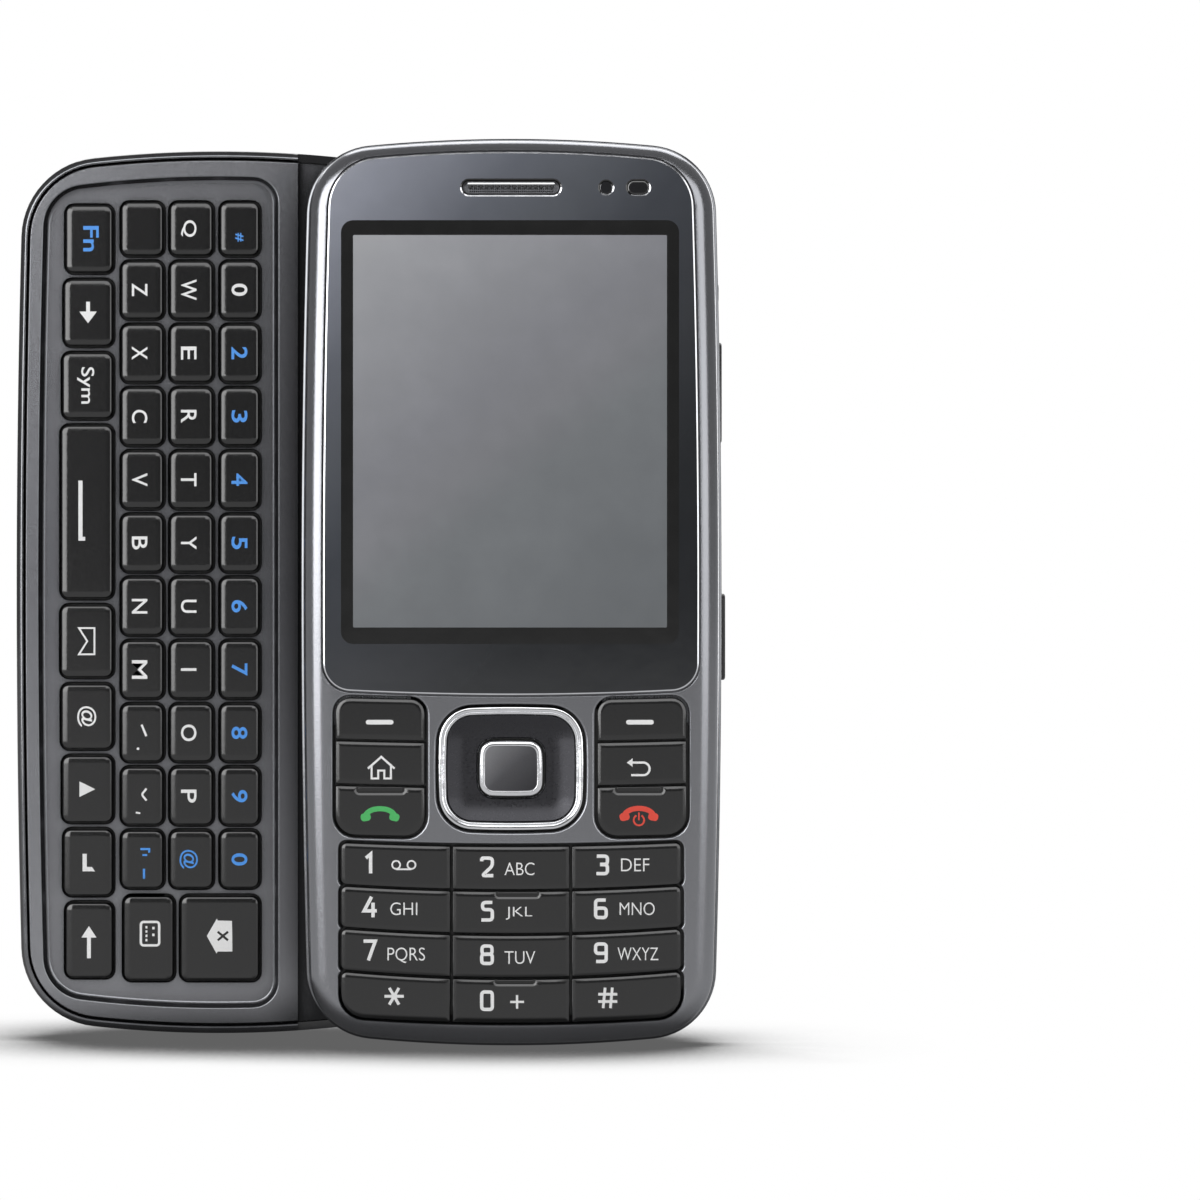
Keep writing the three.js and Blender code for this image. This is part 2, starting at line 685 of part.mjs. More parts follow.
// The function keys' left edges follow the curve of the housing
const functionTop = baseBox.top - functionDrop;
const functionLengths = split(functionTop - baseBox.bottom - functionRise, functionShares,
  Array(functionShares.length - 1).fill(functionGap));
const functionBoxes = columnBoxes(...functionColumn, functionTop, functionLengths, functionGap).map((box) => {
  const share = (box.top + box.bottom) / baseLength;
  return { ...box, left: box.left + functionCrown * share * share };
});

const capForm = (box) => roundedBox(box, keyboardCapRadius, capSteps);
const capTopZ = deckTopZ - keyRecess;

const widened = (box, by) =>
  ({ left: box.left - by, right: box.right + by, bottom: box.bottom - by, top: box.top + by });

// Keys that share one strip of the silicone mat under the deck
function keyStrip(name, boxes) {
  const [first, last] = [boxes[0], boxes.at(-1)];
  const wide = last.right > first.right;
  const strip = {
    ...first,
    left: Math.min(...boxes.map((box) => box.left)),
    bottom: wide ? last.top : last.bottom,
  };
  const mats = (wide ? [strip, last] : [strip]).map((box) =>
    slab(roundedBox(widened(box, matFlange), keyboardCapRadius, capSteps), matZ, matZ + matThickness));
  const caps = boxes.map((box) =>
    shaped(capForm(box), [[0, matZ + matThickness / 2], [capDraft, capTopZ]]));
  add(base, name, join(...mats, ...caps), keyPlastic);
}

const [symbolBox, deleteBox] =
  spans(lowerColumn[0] + symbolInset, keyboardRight, lastShares, [lastColumnGap]).map(lastBox);
const shiftBox = functionBoxes.at(-1);
keyStrip('keyboard_fn_strip', functionBoxes.slice(0, spaceIndex));
keyStrip('keyboard_space_bar', [functionBoxes[spaceIndex]]);
keyStrip('keyboard_mail_strip', functionBoxes.slice(spaceIndex + 1, -1));
keyStrip('keyboard_shift_key', [shiftBox]);
keyStrip('keyboard_lower_letters', [...letterBoxes(lowerColumn), symbolBox]);
keyStrip('keyboard_upper_letters', letterBoxes(upperColumn));
keyStrip('keyboard_numbers', letterBoxes(numberColumn));
keyStrip('keyboard_delete_key', [deleteBox]);
const keyboardBoxes = [...functionBoxes, ...letterBoxes(lowerColumn), ...letterBoxes(upperColumn),
  ...letterBoxes(numberColumn), symbolBox, deleteBox];

// Deck: a plate with a sunken well that the keys come through
const deckRimGap = 0.2;
const deckInset = rimWall + deckRimGap;
const deckChamfer = 0.15;
const wellSideInset = 2.8;
const wellEndInset = 3.2;
const wellSlope = 0.8;
const wellLeftRadius = 5.4;
const wellRightRadius = 3.3;
const guideRecessX = rimStepX;

const insetEdge = (edge, inset) => ({ ...edge, radius: edge.radius - inset });
const wellBox = {
  left: baseBox.left + wellSideInset,
  right: wellRightX,
  top: baseBox.top - wellEndInset,
  bottom: baseBox.bottom + wellEndInset,
};
const wellForm = outline(wellBox, [
  crownedEdges(wellBox)[0],
  insetEdge(baseForm.edges[1], wellEndInset),
  insetEdge(baseForm.edges[2], wellSideInset),
  insetEdge(baseForm.edges[3], wellEndInset),
], [wellRightRadius, wellLeftRadius, wellLeftRadius, wellRightRadius], longForm);

const deckBody = shaped(baseForm, [[deckInset, deckUnderZ], [deckInset, deckTopZ - deckChamfer],
  [deckInset + deckChamfer, deckTopZ]]);
const well = shaped(wellForm, [[wellSlope, wellFloorZ], [0, deckTopZ], [0, deckTopZ + overrun]]);
const guideRecess = block([guideRecessX, baseWidth], [-baseLength, baseLength],
  [wellFloorZ, deckTopZ + overrun]);
add(base, 'base_deck', cut(deckBody, well, guideRecess,
  ...keyboardBoxes.map((box) => slab(capForm(box), deckUnderZ - overrun, wellFloorZ + overrun, -gap))),
deckPaint);

// Guide plate: fixed to the base, its T-shaped posts run in the slide's slots
const plateThickness = 0.5;
const plateRadius = 0.5;
const plateStepSpace = 1.75;
const plateSideInset = 3;
const plateEndInset = 9.5;
const postInset = 2; // from the plate's long edges
const postEndInset = 8;
const postNeck = 2.4;
const postLip = 1.3;
const plateX = [rimStepX + plateStepSpace, baseBox.right - plateSideInset];
const plateHalfLength = baseLength / 2 - plateEndInset;
const postX = [plateX[0] + postInset, plateX[1] - postInset];
const postY = plateHalfLength - postEndInset;
const plateZ = [wellFloorZ + gap, wellFloorZ + gap + plateThickness];
const plateBox = { left: plateX[0], right: plateX[1], bottom: -plateHalfLength, top: plateHalfLength };
const post = (y) => join(
  block(postX, grow([y, y], postNeck / 2), [plateZ[0], headZ + headThickness]),
  block(postX, grow([y, y], postNeck / 2 + postLip), [headZ, headZ + headThickness]),
);
add(base, 'guide_plate',
  join(slab(roundedBox(plateBox, plateRadius, capSteps), ...plateZ), post(postY), post(-postY)),
  springSteel);

// Rear cover of the slide, a tray with two long slots for the posts
const trayWall = 1;
const trayChamfer = 0.5;
const slotSpan = [postX[0] - slideTravel - gap, postX[1] + gap];
const slotWidth = postNeck + 2 * gap;
const traySlot = (y, from, to) => block(slotSpan, grow([y, y], slotWidth / 2), [from, to]);
const trayTopZ = trayBackZ + trayWallHeight;
const trayOuter = shaped(slideForm,
  [[trayChamfer, trayBackZ], [0, trayBackZ + trayChamfer], [0, trayTopZ]]);

// Keys in the slide's right wall
const rockerDrop = 31.6;
const rockerLength = 12.6;
const rockerProud = 0.25;
const shutterDrop = 62.1;
const shutterLength = 10.8;
const shutterProud = 0.5;
const holdDrop = 19.1;
const holdLength = 2.4;
const holdProud = 0.1;
const slideKeyHeight = 1.7;
const slideKeyRise = 2.2;
const slideKeyZ = trayBackZ + slideKeyRise;
const slideKeys = [
  ['volume_rocker', slideBox.top - rockerDrop, rockerLength, rockerProud],
  ['camera_key', slideBox.top - shutterDrop, shutterLength, shutterProud],
  ['hold_key', slideBox.top - holdDrop, holdLength, holdProud],
];
add(slide, 'slide_rear_cover', cut(
  trayOuter,
  slab(slideForm, trayBackZ + trayFloor, trayTopZ + overrun, trayWall),
  traySlot(postY, trayBackZ - overrun, railZ),
  traySlot(-postY, trayBackZ - overrun, railZ),
  ...slideKeys.map(([, y, length]) =>
    sideOpening(1, sideAt(slideForm, y), trayWall, y, length, slideKeyHeight, slideKeyZ)),
), blackHousing);
for (const [name, y, length, proud] of slideKeys) {
  add(slide, name, sideKey(1, sideAt(slideForm, y), trayWall, proud,
    y, length, slideKeyHeight, slideKeyZ), blackHousing);
}

// Rail plate over the tray's floor; the posts' heads hold it down
const railSlotEnd = 0.8;
const railSideInset = 3.2;
const railPostEnd = 3;
const railWindowSide = 11.65;
const railWindowEnd = 21;
const railWindowRadius = 1;
const railBox = {
  left: slotSpan[0] - railSlotEnd,
  right: slideBox.right - railSideInset,
  bottom: -postY - railPostEnd,
  top: postY + railPostEnd,
};
const railWindowBox = {
  left: railBox.left + railWindowSide,
  right: railBox.right - railWindowSide,
  bottom: railBox.bottom + railWindowEnd,
  top: railBox.top - railWindowEnd,
};
add(slide, 'slide_rail_plate', cut(
  slab(roundedBox(railBox, plateRadius, capSteps), railZ, railZ + railThickness),
  slab(roundedBox(railWindowBox, railWindowRadius, capSteps),
    railZ - overrun, railZ + railThickness + overrun),
  traySlot(postY, railZ - overrun, headZ),
  traySlot(-postY, railZ - overrun, headZ),
), springSteel);

// Screen window and what lies under it
const windowSideInset = 2.85;
const windowTopInset = 1.85;
const windowRise = 43.7; // from the slide's lower end to the window
const windowBottomCrown = 0.7;
const windowTopRadius = 6.2;
const windowBottomRadius = 3.5;
const windowGap = 0.2;
const windowLedge = 1.2;
const windowChamfer = 0.15;
const windowBox = {
  left: slideBox.left + windowSideInset,
  right: slideBox.right - windowSideInset,
  top: slideBox.top - windowTopInset,
  bottom: slideBox.bottom + windowRise,
};
const windowForm = outline(windowBox, [
  insetEdge(slideForm.edges[0], windowSideInset),
  insetEdge(slideForm.edges[1], windowTopInset),
  insetEdge(slideForm.edges[2], windowSideInset),
  crownedEdges(windowBox, { bottom: windowBottomCrown })[3],
], [windowTopRadius, windowTopRadius, windowBottomRadius, windowBottomRadius], longForm);

const displaySideInset = 2.05;
const displayTopInset = 7.55;
const displayBottomInset = 4.9;
const displayRadius = 1;
const displayForm = roundedBox({
  left: windowBox.left + displaySideInset,
  right: windowBox.right - displaySideInset,
  bottom: windowBox.bottom + displayBottomInset,
  top: windowBox.top - displayTopInset,
}, displayRadius, capSteps);
const displayTopZ = windowBackZ - gap;

// Earpiece, front camera and light sensor, in holes of the window
const earpieceDrop = 6.3; // from the slide's upper end
const earpieceWidth = 12.2;
const earpieceHeight = 1.8;
const earpieceSink = 0.1;
const earpieceHoleRadius = 0.32;
const earpieceHoleMargin = 1.15;
const earpieceHoleCount = 10;
const earpieceHoleSteps = 6;
const receiverWidth = 14;
const receiverHeight = 4;
const receiverRadius = 1;
const frontCameraRadius = 0.8;
const sensorSideInset = 7.55;
const sensorCameraSpace = 4;
const sensorWidth = 2.7;
const sensorHeight = 1.7;
const sensorSink = 0.1;

const earpieceY = slideBox.top - earpieceDrop;
const sensorX = windowBox.right - sensorSideInset;
const frontCameraX = sensorX - sensorCameraSpace;
const inWindow = [frontBoardZ, windowTopZ - sensorSink];
const frontCamera = (margin, from, to) =>
  disc(frontCameraX, earpieceY, frontCameraRadius + margin, from, to);
const sensor = (margin, from, to) => slot(sensorX, earpieceY,
  sensorWidth + 2 * margin, sensorHeight + 2 * margin, from, to);
const earpiece = (margin, from, to) => slot(0, earpieceY,
  earpieceWidth + 2 * margin, earpieceHeight + 2 * margin, from, to);

const throughWindow = [windowBackZ - overrun, windowTopZ + overrun];
const earpieceHolePitch = (earpieceWidth - 2 * earpieceHoleMargin) / (earpieceHoleCount - 1);
const earpieceHoles = Array.from({ length: earpieceHoleCount }, (_, k) => disc(
  (k - (earpieceHoleCount - 1) / 2) * earpieceHolePitch, earpieceY, earpieceHoleRadius,
  ...throughWindow, earpieceHoleSteps));
add(slide, 'display_window', cut(
  shaped(windowForm, [[0, windowBackZ], [0, windowTopZ - windowChamfer], [windowChamfer, windowTopZ]]),
  earpiece(trimGap, ...throughWindow),
  frontCamera(trimGap, ...throughWindow),
  sensor(trimGap, ...throughWindow),
), smokedWindow);
add(slide, 'earpiece_grille',
  cut(earpiece(0, windowBackZ, windowTopZ - earpieceSink), ...earpieceHoles), chrome);
add(slide, 'front_camera', frontCamera(0, ...inWindow), lensGlass);
add(slide, 'light_sensor', sensor(0, ...inWindow), lensGlass);
add(slide, 'display_module', slab(displayForm, frontBoardZ, displayTopZ), displayGlass);
const receiverX = (frontCameraX - frontCameraRadius - gap) - receiverWidth;
add(slide, 'earpiece_receiver', slab(
  roundedBox({ left: receiverX, right: receiverX + receiverWidth,
    bottom: earpieceY - receiverHeight / 2, top: earpieceY + receiverHeight / 2 },
  receiverRadius, capSteps),
  frontBoardZ, displayTopZ), blackHousing);

// The navigation key's place sets those of the keys round it
const navWidth = 18;
const navHeight = 15.3;
const navWindowSpace = 1.45;
const navY = windowBox.bottom - navWindowSpace - navHeight / 2;

// Number keys: four rows whose edges sag towards the middle
const padSideInset = 5.1;
const padEndInset = 3.06;
const dividerShare = 0.351;
const rowSpace = 2.05;
const rowCount = 4;
const columnCount = 3;
const rowDips = [0.5, 0.7, 0.85, 1, 0.8];
const keyEndRadius = 0.7;
const keyInnerRadius = 0.15;
const padBottomRadius = 3;
const frontKeyBevel = 0.2;
const padHalfWidth = slideWidth / 2 - padSideInset;
const padDividerX = padHalfWidth * dividerShare;
const rowTopY = navY - navHeight / 2 - rowSpace;
const rowPitch = (rowTopY - slideBox.bottom - padEndInset) / rowCount;
const numberNames = ['1', '2', '3', '4', '5', '6', '7', '8', '9', 'star', '0', 'hash'];

// The arc of a row's edge: low in the middle by its dip, the key above it (1) or below it (-1)
const dipEdge = (y, dip, side) => {
  const radius = arcRadius(padHalfWidth, dip);
  return arcEdge(0, y + radius, radius, side);
};

// A key between two sagging edges
function saggingKey(left, right, topY, topDip, bottomY, bottomDip, radii) {
  const box = { left, right, top: topY, bottom: bottomY };
  const [rightEdge, , leftEdge] = crownedEdges(box);
  const edges = [rightEdge, dipEdge(topY, topDip, -1), leftEdge, dipEdge(bottomY, bottomDip, 1)];
  const form = outline(box, edges, radii, keySteps);
  form.corners.forEach((corner, k) => {
    const edge = edges[k < 2 ? 1 : 3];
    corner.y = edge.y - Math.sqrt(edge.radius ** 2 - corner.x ** 2);
  });
  return form;
}

const columnX = [-padHalfWidth, -padDividerX, padDividerX, padHalfWidth];
const numberForms = numberNames.map((_, k) => {
  const row = Math.floor(k / columnCount);
  const column = k % columnCount;
  const left = columnX[column] + (column > 0 ? keyGap / 2 : 0);
  const right = columnX[column + 1] - (column < columnCount - 1 ? keyGap / 2 : 0);
  const top = rowTopY - row * rowPitch - (row > 0 ? keyGap / 2 : 0);
  const bottom = rowTopY - (row + 1) * rowPitch + (row < rowCount - 1 ? keyGap / 2 : 0);
  const foot = row === rowCount - 1 ? padBottomRadius : keyEndRadius;
  const [outerLeft, outerRight] = [column === 0, column === columnCount - 1];
  return saggingKey(left, right, top, rowDips[row], bottom, rowDips[row + 1], [
    outerRight ? keyEndRadius : keyInnerRadius,
    outerLeft ? keyEndRadius : keyInnerRadius,
    outerLeft ? foot : keyInnerRadius,
    outerRight ? foot : keyInnerRadius,
  ]);
});

// Soft, home, call and end keys: two blocks of three beside the navigation key
const blockNavSpace = 1.7;
const blockSideInset = 4.4;
const blockWindowSpace = 0.6;
const blockRowSpace = 1.2;
const blockShares = [5.25, 5.55, 6.2];
const blockDip = 0.3;
const blockTopRadius = 1.8;
const blockBottomRadius = 2.5;
const blockNames = [['soft_key_left', 'home_key', 'call_key'], ['soft_key_right', 'back_key', 'end_key']];

const blockX = [navWidth / 2 + blockNavSpace, slideBox.right - blockSideInset];
const blockTopY = windowBox.bottom - blockWindowSpace;
const blockHeights = split(blockTopY - rowTopY - blockRowSpace, blockShares, []);

function blockForms(side) {
  const [left, right] = side < 0 ? [-blockX[1], -blockX[0]] : blockX;
  let y = blockTopY;
  return blockHeights.map((height, k) => {
    const last = k === blockHeights.length - 1;
    const top = y - (k > 0 ? keyGap / 2 : 0);
    const bottom = y - height + (last ? 0 : keyGap / 2);
    y -= height;
    const head = k === 0 ? blockTopRadius : keyInnerRadius;
    const foot = last ? blockBottomRadius : keyInnerRadius;
    return saggingKey(left, right, top, blockDip, bottom, blockDip, [head, head, foot, foot]);
  });
}

const frontKeys = [
  ...[-1, 1].flatMap((side, s) => blockForms(side).map((form, k) => [blockNames[s][k], form])),
  ...numberForms.map((form, k) => [`key_${numberNames[k]}`, form]),
];
for (const [name, form] of frontKeys) {
  add(slide, name, shaped(form,
    [[0, frontKeyZ], [0, frontKeyTopZ - frontKeyBevel], [frontKeyBevel, frontKeyTopZ]]), keyPlastic);
}

// Navigation key: a chrome ring round a dished pad that rocks on an actuator, and a centre key
const navRadius = 4.2;
const navCrown = 0.35;
const navRim = 0.85;
const navDish = 0.45;
const navProud = 0.1;
const navClearance = 0.3; // left under the pad for its rocking
const actuatorThickness = 0.4;
const centreWidth = 7.9;
const centreHeight = 6.95;
const centreRadius = 1.7;
const centreCrown = 0.15;
const centreBevel = 0.35;

const navCrowns = { left: navCrown, right: navCrown, top: navCrown, bottom: navCrown };
const centreCrowns = { left: centreCrown, right: centreCrown, top: centreCrown, bottom: centreCrown };
const navForm = roundedBox(centredBox(0, navY, navWidth, navHeight), navRadius, ringSteps, navCrowns);
const centreForm = roundedBox(
  centredBox(0, navY, centreWidth, centreHeight), centreRadius, keySteps, centreCrowns);
const actuatorZ = [frontKeyZ, frontKeyZ + actuatorThickness];
const padZ = [actuatorZ[1] + navClearance, frontKeyTopZ - navDish];
const padInset = navRim + trimGap;
const centreHole = slab(centreForm, frontKeyZ - overrun, bezelTopZ + overrun, -gap);
add(slide, 'nav_actuator',
  cut(slab(navForm, ...actuatorZ, padInset), centreHole), springSteel);
add(slide, 'nav_pad', cut(
  shaped(navForm, [[padInset, padZ[0]], [padInset, padZ[1] + navDish / 2],
    [padInset + navDish, padZ[1] + navDish / 2], [padInset + navDish + navRim, padZ[1]]]),
  centreHole,
), keyPlastic);
add(slide, 'nav_ring', cut(
  shaped(navForm, [[0, padZ[0]], [0, frontKeyTopZ - navProud], [navRim / 2 - trimGap, bezelTopZ],
    [navRim / 2 + trimGap, bezelTopZ]]),
  slab(navForm, padZ[0] - overrun, frontKeyTopZ - navProud, navRim),
  shaped(navForm, [[navRim, frontKeyTopZ - navProud],
    [navRim / 2 + trimGap - sharpRadius, bezelTopZ + sharpRadius]]),
), chrome);
add(slide, 'center_key', shaped(centreForm, [[0, frontKeyZ], [0, bezelTopZ - centreBevel],
  [centreBevel, bezelTopZ]]), brushedGrey);

// Keypad board under all the front keys
const padBoardRise = 1.8;
const padBoardInset = 3.6;
const padBoardBox = { ...slideBox, top: windowBox.bottom + padBoardRise };
const padBoardForm = outline(padBoardBox,
  [slideForm.edges[0], crownedEdges(padBoardBox)[1], slideForm.edges[2], slideForm.edges[3]],
  [padBoardInset * 2, padBoardInset * 2, slideCornerRadius, slideCornerRadius], longForm);
add(slide, 'keypad_board',
  slab(padBoardForm, frontBoardZ, frontBoardZ + frontBoardThickness, padBoardInset), circuitGreen);

// Front bezel: the satin face with a rounded shoulder, a seat for the window and the key openings
const bezelInset = 0.35;
const skirtWall = 0.8;
const skirtDrop = 0.9;
const shoulderZ = bezelTopZ - bezelShoulderHeight;
const shoulder = Array.from({ length: roundSteps + 1 }, (_, k) => {
  const angle = (Math.PI / 2) * k / roundSteps;
  return [
    bezelInset + bezelShoulderWidth * (1 - Math.cos(angle)),
    shoulderZ + bezelShoulderHeight * Math.sin(angle),
  ];
});
// The openings of one block run into each other, so their inner corners are square
const squared = (form) =>
  ({ ...form, radii: form.radii.map((radius) => (radius > tinyRadius ? radius : -gap)) });
const keyOpenings = [...frontKeys.map(([, form]) => squared(form)), navForm].map((form) =>
  slab(form, bezelBackZ - overrun, bezelTopZ + overrun, -gap));
const skirt = frame(slideForm, bezelBackZ - skirtDrop, bezelBackZ + skirtDrop / 2,
  trayWall + gap, trayWall + gap + skirtWall);
add(slide, 'front_bezel', cut(
  join(shaped(slideForm, [[bezelInset, bezelBackZ], ...shoulder]), skirt),
  slab(windowForm, displayTopZ, bezelTopZ + overrun, -windowGap),
  slab(windowForm, bezelBackZ - overrun, bezelTopZ, windowLedge),
  ...keyOpenings,
), satinSilver);

export default phone;
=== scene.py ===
"""A slider phone, standing open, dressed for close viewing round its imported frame.

The phone is described lying on its back, in millimetres: x to the right, y to its top, z out of its
screen, with the base's middle as the origin. Half.to_row stands each point up in the frame's metres.
"""
import logging
import math
from dataclasses import dataclass, field, replace
from enum import Enum
from functools import cache
from typing import Any, Callable, Iterable, Sequence

import bpy
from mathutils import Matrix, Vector
from mathutils.geometry import tessellate_polygon


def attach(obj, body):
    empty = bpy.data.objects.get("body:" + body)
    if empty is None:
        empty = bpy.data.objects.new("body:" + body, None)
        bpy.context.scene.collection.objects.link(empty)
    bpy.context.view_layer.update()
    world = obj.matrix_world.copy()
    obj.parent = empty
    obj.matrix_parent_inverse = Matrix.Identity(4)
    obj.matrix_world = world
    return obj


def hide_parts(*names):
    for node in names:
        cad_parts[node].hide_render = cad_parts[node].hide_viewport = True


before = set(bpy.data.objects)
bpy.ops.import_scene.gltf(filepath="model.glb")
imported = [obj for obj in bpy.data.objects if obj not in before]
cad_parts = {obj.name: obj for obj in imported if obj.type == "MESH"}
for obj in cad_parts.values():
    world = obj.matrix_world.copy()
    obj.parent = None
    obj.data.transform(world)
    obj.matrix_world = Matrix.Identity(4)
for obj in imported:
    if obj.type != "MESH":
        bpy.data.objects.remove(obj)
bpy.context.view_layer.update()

LOG = logging.getLogger("phone")
MM = 0.001
# The gap between separate parts, and the one between neighbouring keys
GAP = 0.3
KEY_GAP = 0.25
# How far a cutter reaches past what it cuts
OVERRUN = 1.0
# Corners up to this radius are drawn in one step and left square in an opening
TINY_RADIUS = 0.2
# The least radius of a corner whose outline moves inwards
SHARP_RADIUS = 0.02
# Edges that turn more than this stay sharp
SMOOTH_ANGLE = math.radians(34)
# How straight up or down the normal of a level face points
LEVEL_NORMAL = 0.99999
# A drawn line's corners widen as if none were sharper than this cosine
LEAST_COSINE = 0.4
# How much of an edge a softened corner takes up at most
CORNER_SHARE = 0.49
INK_FILM = 0.03

Point = tuple[float, float]
Place = tuple[float, float, float]
Profile = list[Point]
Tones = tuple[tuple[float, str], ...]
Tree = bpy.types.NodeTree
Socket = bpy.types.NodeSocket


class Half(Enum):
    """The phone's two halves, each with how far it stands along X, in millimetres."""

    BASE = 0.0
    SLIDE = 36.8

    def to_row(self, place: Place) -> Vector:
        """Gives a point of the lying half in the frame's metres."""
        x, y, z = place
        return Vector((x + self.value, -z, y)) * MM


class Cut(Enum):
    """How one body changes another."""

    AWAY = "DIFFERENCE"
    SHARED = "INTERSECT"
    JOINED = "UNION"


# Outlines

@dataclass(frozen=True)
class Line:
    """A straight edge across one axis.

    Args:
        axis: 0 for an edge at one x, 1 for an edge at one y.
        at: where it stands on that axis.
        side: 1 if the outline lies below it, -1 if above.
    """

    axis: int
    at: float
    side: int

    def moved(self, inset: float) -> "Line":
        """Moves the edge towards the inside of its outline."""
        return replace(self, at=self.at - self.side * inset)

    def nearest(self, point: Point) -> Point:
        """Gives the edge's point nearest to another."""
        return (self.at, point[1]) if self.axis == 0 else (point[0], self.at)


@dataclass(frozen=True)
class Arc:
    """A bowed edge, part of a circle.

    Args:
        x: the circle's centre.
        y: the circle's centre.
        radius: the circle's radius.
        side: 1 if the outline lies inside the circle, -1 if outside.
    """

    x: float
    y: float
    radius: float
    side: int = 1

    def moved(self, inset: float) -> "Arc":
        """Moves the edge towards the inside of its outline."""
        return replace(self, radius=self.radius - self.side * inset)

    def narrowed(self, inset: float) -> "Arc":
        """Shrinks the circle whatever side the outline lies on."""
        return replace(self, radius=self.radius - inset)

    def nearest(self, point: Point) -> Point:
        """Gives the edge's point nearest to another."""
        angle = math.atan2(point[1] - self.y, point[0] - self.x)
        return (self.x + self.radius * math.cos(angle), self.y + self.radius * math.sin(angle))


Edge = Line | Arc


def meeting(one: Edge, other: Edge, near: Point) -> Point:
    """Finds where two neighbouring edges meet.

    Args:
        one: the first edge.
        other: the second edge.
        near: a point near the meeting that is wanted.

    Returns:
        The meeting point.
    """
    if isinstance(one, Line) and isinstance(other, Line):
        return (one.at, other.at) if one.axis == 0 else (other.at, one.at)
    if isinstance(one, Arc) and isinstance(other, Arc):
        dx, dy = other.x - one.x, other.y - one.y
        distance = math.hypot(dx, dy)
        along = (distance ** 2 + one.radius ** 2 - other.radius ** 2) / (2 * distance)
        aside = math.sqrt(max(0.0, one.radius ** 2 - along ** 2)) / distance
        foot = (one.x + dx * along / distance, one.y + dy * along / distance)
        options = [(foot[0] - sign * dy * aside, foot[1] + sign * dx * aside) for sign in (1, -1)]
        return min(options, key=lambda point: math.dist(point, near))
    line, arc = (one, other) if isinstance(one, Line) else (other, one)
    middle = (arc.x, arc.y)
    aside = math.sqrt(max(0.0, arc.radius ** 2 - (line.at - middle[line.axis]) ** 2))
    across = 1 - line.axis
    value = middle[across] + math.copysign(aside, near[across] - middle[across])
    return (line.at, value) if line.axis == 0 else (value, line.at)


def arc_points(centre: Point, radius: float, start: Point, end: Point, steps: int) -> list[Point]:
    """Follows a circle the short way from one point to another.

    Args:
        centre: the circle's centre.
        radius: the circle's radius.
        start: a point in the first direction.
        end: a point in the last direction.
        steps: how many steps the way has.

    Returns:
        The points, both ends among them.
    """
    first = math.atan2(start[1] - centre[1], start[0] - centre[0])
    last = math.atan2(end[1] - centre[1], end[0] - centre[0])
    turn = math.atan2(math.sin(last - first), math.cos(last - first))
    angles = [first + turn * k / steps for k in range(steps + 1)]
    return [(centre[0] + radius * math.cos(a), centre[1] + radius * math.sin(a)) for a in angles]


@dataclass(frozen=True)
class Outline:
    """A flat outline of four edges with rounded corners.

    Args:
        edges: its right, top, left and bottom edges.
        radii: its corner radii, from the top right round to the bottom right.
        corners: about where its corners are, in the same order.
        corner_steps: steps round each corner.
        edge_steps: steps along each bowed edge.
    """

    edges: tuple[Edge, ...]
    radii: tuple[float, ...]
    corners: tuple[Point, ...]
    corner_steps: int = 12
    edge_steps: int = 28

    def points(self, inset: float = 0.0) -> list[Point]:
        """Gives the outline's points, moved inwards.

        Args:
            inset: how far.

        Returns:
            The points, anticlockwise.
        """
        edges = [edge.moved(inset) for edge in self.edges]
        fillets = []
        for k, corner in enumerate(self.corners):
            radius = max(self.radii[k] - inset, SHARP_RADIUS)
            before, after = edges[k], edges[(k + 1) % 4]
            centre = meeting(before.moved(radius), after.moved(radius), corner)
            fillets.append((centre, radius, before.nearest(centre), after.nearest(centre)))
        ring: list[Point] = []
        for k, (centre, radius, start, end) in enumerate(fillets):
            steps = self.corner_steps if self.radii[k] > TINY_RADIUS else 1
            ring += arc_points(centre, radius, start, end, steps)
            edge = edges[(k + 1) % 4]
            if isinstance(edge, Arc):
                reach = fillets[(k + 1) % 4][2]
                ring += arc_points((edge.x, edge.y), edge.radius, end, reach, self.edge_steps)[1:-1]
        return ring

    def side_at(self, y: float) -> float:
        """Gives how far the right edge stands from the middle at a height y."""
        edge = self.edges[0]
        return edge.x + math.sqrt(edge.radius ** 2 - (y - edge.y) ** 2)

    def opened(self) -> "Outline":
        """Gives the outline with its tiny inner corners left square, for an opening."""
        return replace(self, radii=tuple(r if r > TINY_RADIUS else -GAP for r in self.radii))


